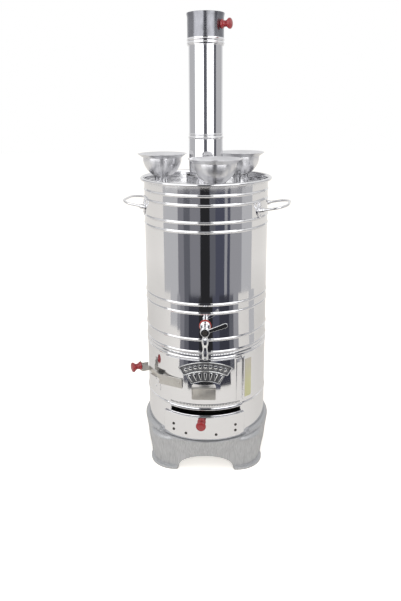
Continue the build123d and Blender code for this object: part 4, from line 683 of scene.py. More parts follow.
@finish("label", 0.0, 0.45)
def coated_paper(tree, shader, place, colours):
    """A coated paper label: pale yellow-green, a soft sheen, lighter towards its upper end."""
    height = add_node(tree, "SeparateXYZ", {"Vector": place}).outputs["Z"]
    rise = add_node(tree, "MapRange", {"Value": height, "From Min": 0.25, "From Max": 0.325})
    mix = {0: rise, 6: linear(colours.label), 7: linear("#C9C3B5")}
    fill(shader, {"Base Color": add_node(tree, "Mix", mix, data_type="RGBA").outputs[2]})


# ---------------------------------------------------------------- the drum
def bead_rise(heights, levels, proud, width):
    """How far the beads lift the wall at each height: proud times a raised cosine over the width."""
    off = np.abs(heights[:, None] - np.asarray(levels)[None]) / (width / 2)
    return (proud * 0.5 * (1 + np.cos(np.pi * np.clip(off, 0, 1)))).sum(axis=1)


def wall_heights(low, high, levels, width, extra=()):
    """Heights at which a beaded wall is sampled: close at the beads, wide apart between them."""
    near = np.concatenate([[-0.6, -0.52], np.linspace(-0.5, 0.5, 17), [0.52, 0.6]]) * width
    fine = (np.asarray(levels)[:, None] + near[None]).ravel()
    heights = np.concatenate([np.arange(low, high, 12 * MM), [high], fine, extra])
    return np.unique(np.round(heights[(heights >= low) & (heights <= high)], 6))


class SAMOVAR_OT_tank(Operator):
    """Builds the tank: a polished wall with eight rolled beads and a rolled rim"""

    bl_idname = "samovar.tank"
    bl_label = "Tank"

    def execute(self, context):
        drum = context.scene.samovar_drum
        levels, inner = list(drum.tank_beads), drum.radius - drum.sheet
        z = wall_heights(drum.seam, drum.top - 1 * MM, levels, drum.bead_width)
        wall = drum.radius + bead_rise(z, levels, drum.bead_proud, drum.bead_width)
        turn, rim = np.radians(np.linspace(-100, 190, 30)), drum.top + 4 * MM
        roll_centre = np.array([drum.rim_radius - drum.rim_wire, rim])
        roll = roll_centre + drum.rim_wire * np.stack([np.cos(turn), np.sin(turn)], axis=1)
        inside = [
            (inner + 1 * MM, rim + 1.5 * MM), (inner, rim),
            (inner, drum.top - 1 * MM), (inner, drum.seam),
        ]
        shell = lathe(np.vstack([np.stack([wall, z], axis=1), roll, inside]), 360)
        steel = mirror_polished_steel()
        add_piece("tank_wall", shell, "body", steel, ["tank_shell"], 50)
        return {"FINISHED"}


class SAMOVAR_OT_firebox(Operator):
    """Builds the firebox: a polished wall with openings for door, draught and drawer, and the hood"""

    bl_idname = "samovar.firebox"
    bl_label = "Firebox"

    def execute(self, context):
        drum, steel = context.scene.samovar_drum, mirror_polished_steel()
        windows = (
            (-36.3, 30.3, 220 * MM, 337 * MM),  # fire door
            (-36.8, 36.8, 104 * MM, 170 * MM),  # ash drawer
            (-34.0, 34.0, 177.5 * MM, 194 * MM),  # air slot
        )
        sides = [side for window in windows for side in window[:2]]
        edges = [edge for window in windows for edge in window[2:]]
        z = wall_heights(drum.foot, drum.seam, drum.firebox_beads, drum.bead_width, edges)
        bare = 36.0  # the lower bead stops at this azimuth on both sides of the openings
        bare_ends = [0.001 - bare, bare - 0.001]
        azimuth = np.unique(np.concatenate([np.arange(-180, 180, 1.0), sides, bare_ends]))
        lower, upper = (
            bead_rise(z, [level], drum.bead_proud, drum.bead_width)[None] for level in drum.firebox_beads
        )
        rise = upper + np.where(np.abs(azimuth[:, None]) < bare, 0, lower)
        points = around(drum.radius + rise, azimuth[:, None], z[None])
        keep = outside_windows(np.append(azimuth, azimuth[0] + FULL), z, windows)
        shell = grid(points, wrap_u=True, keep=keep)
        nodes = ["firebox_shell"]
        add_piece("firebox_wall", shell, "body", steel, nodes, 50, wall=drum.sheet)
        hood = [(175.1, 194.6), (179.0, 194.6), (179.1, 197.5), (177.5, 201.5), (175.1, 202.4)]
        hood = rounded(hood, 2.0, 6, True) * MM
        points = around(hood[None, :, 0], np.linspace(-35, 35, 90)[:, None], hood[None, :, 1])
        middle = points.mean(axis=1, keepdims=True) + np.zeros_like(points)
        shell = grid(np.concatenate([middle[:1], points, middle[-1:]]), wrap_v=True)
        add_piece("draught_hood", shell, "body", steel, ["air_slot_hood"])
        return {"FINISHED"}


class SAMOVAR_OT_ornament(Operator):
    """Builds the rows of pressed dashes round the door, each a small rounded bar on the drum, drawn in
    the dark ground's grey as painted shade of the pressing
    """

    bl_idname = "samovar.ornament"
    bl_label = "Pressed dashes"

    def execute(self, context):
        radius = context.scene.samovar_drum.radius
        sunk, proud, pitch, wide = 0.2 * MM, 0.5 * MM, 1.45, 2.1
        bar = rounded([(-0.55, -0.5), (0.55, -0.5), (0.55, 0.5), (-0.55, 0.5)], 0.4, 3, True)
        shells = []
        for height, start, end, tall in ((358.4, -43.0, 46.0, 6.0), (208.5, -34.0, 34.0, 5.0)):
            outline = bar * (wide, tall) * MM
            for azimuth in np.arange(start, end, pitch):
                place = on_drum(azimuth, height * MM)
                shells.append(slab(outline, radius - sunk, radius + proud, place, edge=0.3 * MM))
        # Painted shade: the dashes are pressed into the polished sheet, and their dark grey stands for
        # the shade and dark reflections of the pressing.
        add_piece("pressed_dashes", joined(shells), "body", dark_ground_and_painted_shade())
        return {"FINISHED"}


# ---------------------------------------------------------------- the base
class SAMOVAR_OT_base(Operator):
    """Builds the cast base: four corner lobes blended into a ring, with an arch on each side"""

    bl_idname = "samovar.base"
    bl_label = "Base"

    def shouldered(self, z, foot, low, widest, high, curve):
        """A radius that widens evenly from a low height up to the shoulder, and rounds in over it."""
        widening = foot + (widest - foot) * np.clip((z - low) / (high - curve - low), 0, 1)
        over = np.clip(z - (high - curve), 0, curve)
        return widening - curve + np.sqrt(np.maximum(curve**2 - over**2, 0))

    def outside(self, base, azimuth, z, lobes):
        """The casting's outside: the larger of the ring's radius and the distance at which a ray meets
        a lobe, reach * cos d + sqrt(R^2 - reach^2 sin^2 d), joined by a small smooth fillet. A lobe's
        foot has a lip, whose upper edge falls by half a cosine wave at 0.69 to 0.97 of its height."""
        d = np.radians(azimuth % 90 - 45)
        ring = self.shouldered(
            z, base.foot_radius, base.arch_height, base.radius, base.top, base.shoulder
        )
        if not lobes:
            return ring
        lip = base.lip * 0.5 * (1 + np.cos(np.pi * np.clip(3.5 * z / base.lip_height - 2.4, 0, 1)))
        lobe = lip + self.shouldered(
            z, base.lobe_foot_radius, base.lip_height, base.lobe_top_radius, base.lobe_top, base.shoulder
        )
        span = lobe**2 - (base.lobe_reach * np.sin(d)) ** 2
        corner = base.lobe_reach * np.cos(d) + np.sqrt(np.maximum(span, 0))
        gap = np.where(span > 0, corner, 0.0) - ring
        fillet = 2.5 * MM
        return ring + 0.5 * (gap + np.sqrt(gap**2 + fillet**2))

    def execute(self, context):
        base, drum = context.scene.samovar_base, context.scene.samovar_drum
        azimuth = np.arange(0, FULL, 0.4)[:, None]
        one = np.ones_like(azimuth)
        side = base.foot_radius * np.abs(np.sin(np.radians((azimuth + 45) % 90 - 45)))
        low = base.arch_height * np.sqrt(np.clip(1 - (side / base.arch_half) ** 2, 0, 1))
        centred = (azimuth + 180) % FULL - 180
        notch_left, notch_right = -44.0, 40.5
        past = np.maximum(notch_left - centred, centred - notch_right)
        slope = 0.5 - 0.5 * np.cos(np.pi * np.clip(past / base.ramp, 0, 1))
        high = base.notch + (base.top - base.notch) * slope
        over = base.shoulder * (1 - np.sin(np.linspace(0, np.pi / 2, 9)))[None]
        foot = base.lip_height * np.linspace(0.62, 1.04, 9)[None]  # close rows where the lip falls
        below = np.minimum(low + (base.lobe_top - low) * np.linspace(0, 1, 36)[None], base.lobe_top)
        extra = np.maximum(np.hstack([base.lobe_top - over, foot]) + 0 * azimuth, low)
        below = np.sort(np.hstack([below, extra]), axis=1)
        outer = self.outside(base, azimuth, below, True)
        crown = np.hstack([(base.lobe_top + 0.01 * MM) * one, np.minimum(base.top - over, high)])
        ring = self.outside(base, azimuth, crown, False)
        clearance, ledge_width, ledge_depth = 0.3 * MM, 10 * MM, 6 * MM
        seat = (drum.radius + clearance) * one
        ledge = seat - ledge_width
        floor = drum.foot - ledge_depth
        within = slice(30, 0, -3)  # every third row of the outside, going down, makes the inside
        inner = outer - base.wall
        radii = [outer, ring, seat, seat, ledge, ledge, inner[:, within], inner[:, :1]]
        heights = [
            below, crown, high, drum.foot * one, drum.foot * one, floor * one,
            np.minimum(below[:, within], floor), low,
        ]
        shell = grid(around(np.hstack(radii), azimuth, np.hstack(heights)), wrap_u=True, wrap_v=True)
        cast = brushed_cast_aluminium()
        add_piece("lobed_base", shell, "body", cast, ["base_casting"], 60)
        return {"FINISHED"}


# ---------------------------------------------------------------- the ash drawer
class SAMOVAR_OT_drawer(Operator):
    """Builds the ash drawer's front with its turned edges, its rivets and its knob"""

    bl_idname = "samovar.drawer"
    bl_label = "Ash drawer"

    def execute(self, context):
        span, heights, faces = (-41.5, 37.6), (103 * MM, 175 * MM), (176 * MM, 180 * MM)
        front = bent_plate(span, heights, faces, corner=3 * MM, edge=1.6 * MM, steps=5, at=faces[1])
        steel = mirror_polished_steel()
        add_piece("drawer_face", front, "drawer", steel, ["drawer_front"], 60)
        turn, height = -3.5, 161 * MM
        pull = knob_shell(around(faces[1] + GAP, turn, height), axes_out(turn)[1])
        add_piece("drawer_pull", pull, "drawer", red_phenolic(), ["drawer_knob"])
        spots = ((-30.5, 141.5), (-30.5, 124.5), (-18, 121), (9.5, 121), (28, 142), (28, 124.5))
        heads = rivet_heads(faces[1], [(a, z * MM) for a, z in spots])
        sooted = sooted_steel()
        add_piece("drawer_rivet_heads", heads, "drawer", sooted, ["drawer_rivets"])
        return {"FINISHED"}


# ---------------------------------------------------------------- the fire door
class SAMOVAR_OT_door(Operator):
    """Builds the door's curved panel with its draught vent, and the piano hinge"""

    bl_idname = "samovar.door"
    bl_label = "Fire door"

    def execute(self, context):
        door = context.scene.samovar_door
        hatch = (-9.53, 6.53, 237 * MM, 257 * MM)
        azimuth = np.unique(np.concatenate([np.linspace(door.start, door.end, 74), hatch[:2]]))
        z = np.unique(np.concatenate([np.linspace(door.low, door.high, 27), hatch[2:]]))
        points = around(door.outer, azimuth[:, None], z[None])
        shell = grid(points, keep=outside_windows(azimuth, z, [hatch]))
        add_piece(
            "fire_door", shell, "door", mirror_polished_steel(), ["door_panel"], 50,
            wall=door.outer - door.inner, edge=(0.5 * MM, 40),
        )
        inset, sheet, chamfer, clearance = 2 * MM, 1 * MM, 0.3 * MM, 0.2 * MM
        low, high = door.low + inset, door.high - inset
        pitch = (high - low) / door.knuckles
        pin = around(door.hinge_radius, door.hinge, 0.0)
        end = np.array([(0, 0), (door.knuckle - chamfer, 0), (door.knuckle, chamfer)])
        for first, name, body, node, span, radius in (
            (0, "hinge_door_side", "door", "hinge_leaf_door", (-7.0, -0.6), door.outer),
            (1, "hinge_drum_side", "body", "hinge_leaf_fixed", (1.0, 3.0), door.inner - 1.2 * MM),
        ):
            shells = []
            for index in range(first, door.knuckles, 2):
                base = low + index * pitch + clearance
                top = base + pitch - 2 * clearance
                profile = np.vstack([end + (0, base), end[::-1] * (1, -1) + (0, top)])
                shells.append(lathe(profile, 20, pin, closed=False))
            turns = (door.hinge + span[0], door.hinge + span[1])
            faces = (radius + GAP, radius + GAP + sheet)
            leaf = bent_plate(turns, (low, high), faces, corner=0.5 * MM, edge=0.25 * MM, at=radius)
            shells.append(leaf)
            add_piece(name, joined(shells), body, bright_drawn_steel(), [node])
        return {"FINISHED"}


class SAMOVAR_OT_badge(Operator):
    """Builds the pressed badge: an arched band with a rim and round bosses over a fluted fan"""

    bl_idname = "samovar.badge"
    bl_label = "Badge"

    def sector(self, inner, outer, half, corner):
        """A sector of a ring about the badge's centre, as a closed outline with rounded corners."""
        turn = np.radians(np.linspace(-half, half, 25))
        arc = np.stack([np.sin(turn), np.cos(turn)], axis=1)
        return rounded(np.vstack([outer * arc, inner * arc[::-1]]), corner, 4, closed=True)

    def wire(self, outline, radius, level, place):
        """A wire along a closed outline: its ring lies radius cos t across it and level + radius sin t
        up from the drum's axis."""
        line = divided(np.vstack([outline, outline[:1]]), 2.5 * MM)[:-1]
        run = np.roll(line, -1, axis=0) - np.roll(line, 1, axis=0)
        run /= np.linalg.norm(run, axis=1, keepdims=True)
        side = np.stack([run[:, 1], -run[:, 0]], axis=1)
        turn = np.linspace(0, 2 * np.pi, 12, endpoint=False)
        flat = line[:, None] + side[:, None] * radius * np.cos(turn)[None, :, None]
        lift = np.broadcast_to(level + radius * np.sin(turn), flat.shape[:2])
        return grid(place(flat[..., 0], flat[..., 1], lift), wrap_u=True, wrap_v=True)

    def band(self, inner, outer, half, low, high, place):
        """A curved strip: a box of points across its width and along its arc, from low to high."""
        radius = np.linspace(inner, outer, 9)[None]
        angle = np.radians(np.linspace(-half, half, 61))[:, None]
        u, v = radius * np.sin(angle), radius * np.cos(angle)
        top, bottom = (place(u, v, np.full(u.shape, level)) for level in (high, low))
        loop = np.stack([bottom, top])
        sides = [loop[:, 0], loop[:, :, -1], loop[:, -1, ::-1], loop[:, ::-1, 0]]
        return joined([grid(top), grid(bottom[:, ::-1]), grid(np.concatenate(sides, axis=1))])

    def bosses(self, middle, half, face, place):
        """Round bosses along the band: shallow domes, each in a thin ring of oval section."""
        turn = np.linspace(0, 2 * np.pi, 9)[:-1]
        ring_radius, wide, tall, count, margin = 7.6, 0.7, 0.6, 9, 4
        ring = np.stack([ring_radius + wide * np.cos(turn), 0.1 + tall * np.sin(turn)], axis=1) * MM
        shells = []
        for index in range(count):
            lean = np.radians((index - (count - 1) / 2) * 2 * (half - margin) / count)
            u, v = middle * np.sin(lean), middle * np.cos(lean)
            spot = place(np.array(u), np.array(v), np.array(face))
            out = axes_out(np.degrees(np.arcsin(u / face)))[1]
            shells += [rivet_head(spot, out, radius=5.0, rise=1.3), lathe(ring, 32, spot, out)]
        return joined(shells)

    def flute(self, lean, near, far, face, place):
        """One flute of the fan: a tongue that widens outwards, rise * sqrt(1 - s^2) high across."""
        along = np.linspace(0, 1, 15)[:, None]
        across = np.linspace(-1, 1, 13)[None]
        radius = near + (far - near) * along
        near_half, far_half = 1.5 * MM, 5.1 * MM
        half = near_half + (far_half - near_half) * along
        half = half * np.sqrt(np.clip(1 - (2 * np.abs(along - 0.5)) ** 8, 0, 1))
        angle, rise = np.radians(lean), 1.2 * MM
        u = radius * np.sin(angle) + across * half * np.cos(angle)
        v = radius * np.cos(angle) - across * half * np.sin(angle)
        domed = rise * np.sqrt(np.clip(1 - across**2, 0, 1)) * np.minimum(1, half / rise)
        return grid(place(u, v, face - 0.2 * MM + domed))

    def execute(self, context):
        door = context.scene.samovar_door
        relief = 1.0 * MM
        back = door.outer + GAP
        face = back + relief
        outer, inner = door.badge_radius, door.badge_radius - door.badge_band
        foot, low_face = inner - door.fan_band, face - 0.1 * MM

        def place(u, v, w):
            return around(w, np.degrees(np.arcsin(u / w)), door.badge_top - outer + v)

        rim, thin_rim = 1.25 * MM, 0.7 * MM
        line = self.sector(inner + rim, outer - rim, door.badge_half - 0.5, 3 * MM)
        foot_line = self.sector(foot + 0.8 * MM, inner - 0.8 * MM, door.fan_half - 0.4, 2 * MM)
        leans = [(index - 3) * 2 * (door.fan_half - 4) / 6 for index in range(7)]
        bright = chrome_plate()
        add_piece("badge_plate", joined([
            self.band(inner, outer, door.badge_half, back, face, place),
            self.band(foot, inner + 0.5 * MM, door.fan_half, back, low_face, place),
        ]), "door", dark_ground_and_painted_shade(), ["door_badge"])
        add_piece("badge_frame", joined([
            self.wire(line, rim, face + relief - rim, place),
            self.wire(foot_line, thin_rim, low_face, place),
        ]), "door", bright)
        bosses = self.bosses(outer - door.badge_band / 2, door.badge_half, face, place)
        add_piece("badge_bosses", bosses, "door", bright)
        flutes = [self.flute(lean, foot + 4 * MM, inner - 3 * MM, face, place) for lean in leans]
        add_piece("badge_flutes", joined(flutes), "door", bright)
        return {"FINISHED"}


class SAMOVAR_OT_flap(Operator):
    """Dresses the draught flap, its frame and its pin"""

    bl_idname = "samovar.flap"
    bl_label = "Draught flap"

    def execute(self, context):
        softened("draught_flap", "flap", galvanised_sheet(), 0.4 * MM)
        for node in ("flap_frame", "flap_pin"):
            softened(node, "door", galvanised_sheet())
        return {"FINISHED"}


class SAMOVAR_OT_latch(Operator):
    """Dresses the latch's lever, rivet and keeper, and builds its knob"""

    bl_idname = "samovar.latch"
    bl_label = "Door latch"

    def execute(self, context):
        sheet, bright = galvanised_sheet(), bright_drawn_steel()
        softened("latch_lever", "latch", sheet, 0.5 * MM)
        softened("latch_keeper", "body", bright)
        softened("latch_rivet", "door", sheet, 0.4 * MM)
        knob, screw = (np.mean(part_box(node), axis=0) for node in ("latch_knob", "latch_knob_screw"))
        out = (knob - screw) * (1, 1, 0)
        out /= np.linalg.norm(out)
        half_length = 14 * MM
        pull = knob_shell(knob - out * half_length, out)
        add_piece("latch_pull", pull, "latch", red_phenolic(), ["latch_knob"])
        heads = rivet_heads(176.6 * MM, ((-55.0, 254 * MM), (-50.5, 247 * MM), (-55.0, 231 * MM)))
        add_piece("keeper_rivet_heads", heads, "body", bright, ["keeper_rivets"])
        return {"FINISHED"}


class SAMOVAR_OT_label(Operator):
    """Builds the bare paper label beside the door"""

    bl_idname = "samovar.label"
    bl_label = "Label"

    def execute(self, context):
        radius, thickness = context.scene.samovar_drum.radius + GAP, 0.4 * MM
        span, heights, faces = (39.0, 47.0), (216 * MM, 331 * MM), (radius, radius + thickness)
        shell = bent_plate(span, heights, faces, corner=1.5 * MM, edge=0.1 * MM)
        add_piece("bare_label", shell, "body", coated_paper(), ["label_plate"])
        return {"FINISHED"}


# ---------------------------------------------------------------- the tap
class SAMOVAR_OT_tap(Operator):
    """Builds the tap: turned body and spout, gland, washer and the flat tapered lever"""

    bl_idname = "samovar.tap"
    bl_label = "Tap"

    def execute(self, context):
        tap, chrome = context.scene.samovar_tap, chrome_plate()
        axis, forward = np.array([0, 0, tap.height]), np.array([0.0, -1, 0])
        barrel = (
            (5.0, 158), (9.0, 158), (9.0, 178.3), (14.2, 178.3), (14.5, 179.4), (14.5, 181.4),
            (13.6, 182.6), (10.2, 184.6), (9.6, 187.5), (11.8, 190.5), (12.0, 196), (12.0, 212.5),
            (12.6, 213.6), (12.6, 215.4), (11.8, 216), (7.6, 216), (7.5, 191), (5.0, 191),
        )
        spout = (
            (5.5, 0.0), (7.6, 0.0), (8.9, 1.4), (9.0, 5.5), (8.3, 6.6), (8.3, 8.5), (8.8, 10),
            (8.8, 18), (7.9, 21), (6.9, 26), (7.2, 35), (9.0, 43), (9.6, 49), (9.0, 55.5),
            (7.2, 61.5), (6.4, 64.5), (8.2, 66.6), (8.4, 68.4), (7.4, 70.5), (8.0, 75.5), (4.5, 75.5),
            (4.5, 50.0), (5.5, 50.0),
        )
        mouth = (0, -tap.spout_at, tap.spout_low)
        shells = [turned(barrel, 0.8, 4, 64, axis, forward), turned(spout, 1.5, 4, 48, mouth)]
        add_piece("tap_casting", joined(shells), "body", chrome, ["tap_body"], 50)
        gland = ((4.1, 216), (12.2, 216), (12.8, 217), (12.8, 219.6), (11.6, 221), (4.1, 221))
        nut = turned(gland, 0.5, 3, 48, axis, forward)
        add_piece("tap_gland_nut", nut, "body", chrome, ["tap_gland"], 50)
        washer = ((9.1, 175.1), (16.6, 175.1), (16.6, 178.2), (9.1, 178.2))
        ring = turned(washer, 0.8, 4, 64, axis, forward)
        add_piece("tap_joint_ring", ring, "body", red_fibre(), ["tap_washer"])
        hub = ((4.1, 221.35), (11.6, 221.35), (12.0, 222), (12.0, 226.6), (11.0, 228.2), (4.1, 228.2))
        lean = np.radians(tap.lever_tilt)
        across = np.array([np.cos(lean), 0, np.sin(lean)])
        up = np.array([-np.sin(lean), 0, np.cos(lean)])
        paddle = rounded(
            [(8, 4.2), (8, -4.2), (56, -6.5), (62.8, -4.6), (62.8, 4.6), (56, 6.5)], 3.0, 6, True
        ) * MM
        outline = divided(np.vstack([paddle, paddle[:1]]), 6 * MM)[:-1]
        place = on_plane(axis, across, up, forward)
        lever = slab(outline, 221.4 * MM, 225.2 * MM, place, edge=1.1 * MM, steps=5)
        handle = joined([turned(hub, 0.8, 4, 48, axis, forward), lever])
        add_piece("tap_handle", handle, "tap_key", chrome, ["tap_lever"], 50)
        screw = ((0, 228.2), (6.3, 228.2), (6.4, 229.2), (4.6, 230.1), (1.2, 230.1), (0, 229.3))
        head = turned(screw, 0.4, 3, 32, axis, forward, closed=False)
        add_piece("tap_end_screw", head, "tap_key", sooted_steel(), ["tap_screw"])
        softened("tap_plug", "tap_key", chrome, 0.2 * MM)
        return {"FINISHED"}


# ---------------------------------------------------------------- the handles
class SAMOVAR_OT_handles(Operator):
    """Builds the two bent wire handles on their riveted leaf brackets"""

    bl_idname = "samovar.handles"
    bl_label = "Carrying handles"

    def leaf(self, half_wide, half_high):
        """A pointed leaf: its half width falls off as 1 - |v|^1.6 towards each tip."""
        v = np.linspace(-1, 1, 41)
        wide = half_wide * (1 - np.abs(v) ** 1.6) + 0.3 * MM
        right = np.stack([wide, v * half_high], axis=1)
        return np.vstack([right, right[::-1] * (-1, 1)])

    def execute(self, context):
        drum, handle = context.scene.samovar_drum, context.scene.samovar_handles
        bright, leaf = bright_drawn_steel(), self.leaf(half_wide=15 * MM, half_high=23 * MM)
        low, half, reach = 6.5 * MM, handle.half, handle.reach
        bend, flat = 50 * MM, 38 * MM
        route = rounded([
            (low, -half), (bend, -half), (reach, -flat), (reach, flat), (bend, half), (low, half),
        ], 15 * MM, 10)
        boss = (
            (0, -4), (7.0, -4), (7.0, 8.2), (6.2, 9.4), (5.2, 10.8), (5.4, 12.4), (4.6, 13.0),
            (3.55, 13.0), (3.55, 8), (0, 8),
        )
        back = drum.radius + GAP
        face = back + handle.leaf
        rivet_off = 12.88 * MM
        turn = np.degrees(np.arctan2(half, handle.root))
        spots = []
        for name, azimuth in (("right", handle.azimuth), ("left", handle.azimuth - 180)):
            across, along = axes_out(azimuth, handle.tilt)
            root = around(handle.root, azimuth, handle.height)
            path = root + route[:, :1] * along + route[:, 1:] * across
            wire = tube(divided(path, 4 * MM), handle.wire, 20)
            add_piece(f"wire_handle_{name}", wire, "body", bright, [f"handle_bar_{name}"])
            for side, end in ((-1, "a"), (1, "b")):
                foot = azimuth + side * turn
                origin = root + side * half * across
                shell = joined([
                    slab(leaf, back, face, on_drum(foot, handle.height), edge=1.2 * MM, steps=5),
                    turned(boss, 0.8, 4, 32, origin, along, closed=False),
                ])
                node = f"handle_bracket_{name}_{end}"
                add_piece(f"leaf_bracket_{name}_{end}", shell, "body", bright, [node], 50)
                spots += [(foot, handle.height + up) for up in (-rivet_off, rivet_off)]
        heads = rivet_heads(face, spots, 3.6)
        add_piece("handle_rivet_heads", heads, "body", bright, ["handle_rivets"])
        return {"FINISHED"}


# ---------------------------------------------------------------- lid, bowls and chimney
class SAMOVAR_OT_lid(Operator):
    """Dresses the lid and the ring that it sits on"""

    bl_idname = "samovar.lid"
    bl_label = "Lid"

    def execute(self, context):
        for node, body in (("lid", "lid"), ("lid_collar", "lid"), ("lid_seat_ring", "body")):
            softened(node, body, bright_drawn_steel())
        return {"FINISHED"}


class SAMOVAR_OT_bowls(Operator):
    """Builds the three spun bowls: a round body, a small step and a flared, rolled flange"""

    bl_idname = "samovar.bowls"
    bl_label = "Bowls"

    def execute(self, context):
        top = context.scene.samovar_top
        turn = np.radians(np.linspace(0, 90, 28))
        sphere = np.stack([np.sin(turn), -np.cos(turn)], axis=1)
        flange = np.array([
            (0, 1.2), (2.5, 2.4), (4.2, 3.6), (7.0, 5.8), (11.0, 8.8), (14.4, 10.8), (15.4, 11.4),
            (15.5, 11.8), (15.1, 12.2), (14.0, 12.1),
        ]) * MM + (top.bowl_radius, 0)
        inner_flange = np.array([(10.2, 9.8), (6.2, 7.0), (3.2, 4.6), (1.4, 3.4), (-1.1, 2.2)]) * MM
        profile = np.vstack([
            top.bowl_radius * sphere, rounded(flange, 1.0 * MM, 3),
            inner_flange + (top.bowl_radius, 0), (top.bowl_radius - top.sheet) * sphere[::-1],
        ])
        for name, azimuth in zip(("front", "right", "left"), top.bowl_azimuths):
            node = f"bowl_{name}"
            shell = lathe(profile, 128, around(top.bowl_reach, azimuth, top.bowl_centre), closed=False)
            add_piece(f"spun_{node}", shell, node, spun_satin_steel(), [node], 50)
        return {"FINISHED"}


class SAMOVAR_OT_chimney(Operator):
    """Builds the chimney's pipe and top with their rolled beads, and its knob"""

    bl_idname = "samovar.chimney"
    bl_label = "Chimney"

    def execute(self, context):
        top, steel = context.scene.samovar_top, mirror_polished_steel()
        step, swell = top.socket_high, 1.5 * MM
        z = np.arange(0, 20, 1.0) * MM
        neck = (
            top.socket - (top.socket - top.pipe) * np.clip((z - 4 * MM) / (4 * MM), 0, 1)
            + swell * np.sin(np.pi * np.clip(z / (8 * MM), 0, 1)) ** 2
            + swell * np.sin(np.pi * np.clip((z - 10.5 * MM) / (4 * MM), 0, 1)) ** 2
        )
        profile = np.vstack([
            [(top.socket - top.sheet, top.socket_low), (top.socket, top.socket_low)],
            [(top.socket, step - 1 * MM)], np.stack([neck, step + z], axis=1),
            [(top.pipe, step + 30 * MM), (top.pipe, top.pipe_top), (top.pipe - top.sheet, top.pipe_top)],
            [(top.pipe - top.sheet, step), (top.socket - top.sheet, step)],
        ])
        add_piece("flue_pipe", lathe(profile, 160), "chimney", steel, ["chimney_pipe"])
        bead = ((0, -3), (0.7, -2), (1.4, -1), (1.5, 0), (1.4, 1), (0.7, 2), (0, 3))
        beads = [(radius, at + off) for at in (6, 15) for radius, off in bead]
        inner, split = top.pipe + GAP - top.cap, 20 * MM
        foot = np.vstack([
            [(inner, 0)], np.array([(-0.9, 0), (0, 1), *beads]) * MM, [(0, split), (inner, split)],
        ])
        mouth = np.array([
            (0, 71), (0.7, 76), (1.7, 80.5), (1.8, 82.6), (1.4, 83), (0.8, 82.6), (0.6, 80.6),
            (-0.5, 76), (-1.2, 71), (-1.2, 27),
        ]) * MM
        cap = np.vstack([[(inner, split), (0, split)], mouth, [(inner, top.pipe_top - top.cap_low)]])
        for name, line, material, nodes in (
            ("cap_beads", foot, steel, ()), ("chimney_cap", cap, scuffed_sheet_steel(), ["chimney_top"]),
        ):
            shell = lathe(line + (top.cap, top.cap_low), 160)
            add_piece(name, shell, "chimney", material, nodes)
        turn = top.knob_azimuth
        pull = knob_shell(around(top.cap - 0.3 * MM, turn, top.knob_height), axes_out(turn)[1])
        add_piece("chimney_pull", pull, "chimney", red_phenolic(), ["chimney_knob"])
        return {"FINISHED"}


class SAMOVAR_OT_inside(Operator):
    """Gives the inner and small pieces that keep their own shape the finish of their material"""

    bl_idname = "samovar.inside"
    bl_label = "Inner pieces"

    def execute(self, context):
        for finish_of, nodes in (
            (raw_cast_iron, ["fire_grate"]),
            (sooted_steel, ["grate_ring", "drum_floor", "tank_floor"]),
            (spun_satin_steel, ["flue_tube"]),
            (galvanised_sheet, [
                "runner_left", "runner_right", "drawer_tray", "base_screws", "latch_knob_screw",
                "drawer_knob_screw", "chimney_knob_screw",
            ]),
            (red_fibre, ["tap_seal"]),
            (chrome_plate, ["tap_backnut"]),
            (bright_drawn_steel, ["hinge_pin"]),
        ):
            for node in nodes:
                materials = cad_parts[node].data.materials
                materials.clear()
                materials.append(finish_of())
        return {"FINISHED"}


# ---------------------------------------------------------------- the stage
def metal_rays(tree):
    """The light path's outputs, and 1 for a ray that comes from metal or glass, else 0."""
    path = add_node(tree, "LightPath").outputs
    kinds = {0: path["Is Glossy Ray"], 1: path["Is Transmission Ray"]}
    return path, add_node(tree, "Math", kinds, operation="MAXIMUM")


def bare_material(name):
    """A material with an empty node tree, and its output node."""
    material = bpy.data.materials.new(name)
    material.use_nodes = True
    material.node_tree.nodes.clear()
    return material, add_node(material.node_tree, "OutputMaterial")


def glow(name, strength, colour_hex):
    """A plain glowing material for a card."""
    material, output = bare_material(name)
    light = {"Color": linear(colour_hex), "Strength": strength}
    fill(output, {"Surface": add_node(material.node_tree, "Emission", light)})
    return material


def stage_piece(name, shell, material):
    """A piece of the stage from a shell of vertices and quads."""
    mesh = new_mesh(name, shell)
    mesh.materials.append(material)
    piece = new_object(name, mesh)
    return piece


def card(name, points, material, lights=False):
    """A card given as a grid of points, out of the camera's sight, that shows in the metal; it lights
    the object only where it is a soft box."""
    piece = stage_piece(name, grid(points), material)
    piece.visible_camera = piece.visible_shadow = False
    piece.visible_diffuse = lights


def upright(start, end, low, high, radius):
    """A card bent round the object, from one azimuth to another, that faces it."""
    return around(radius, np.linspace(end, start, 24)[:, None], np.linspace(low, high, 3)[None])


def lying(start, end, near, far, height):
    """A card flat on the floor, from one azimuth and distance to another."""
    return around(np.linspace(near, far, 6)[None], np.linspace(start, end, 24)[:, None], height)


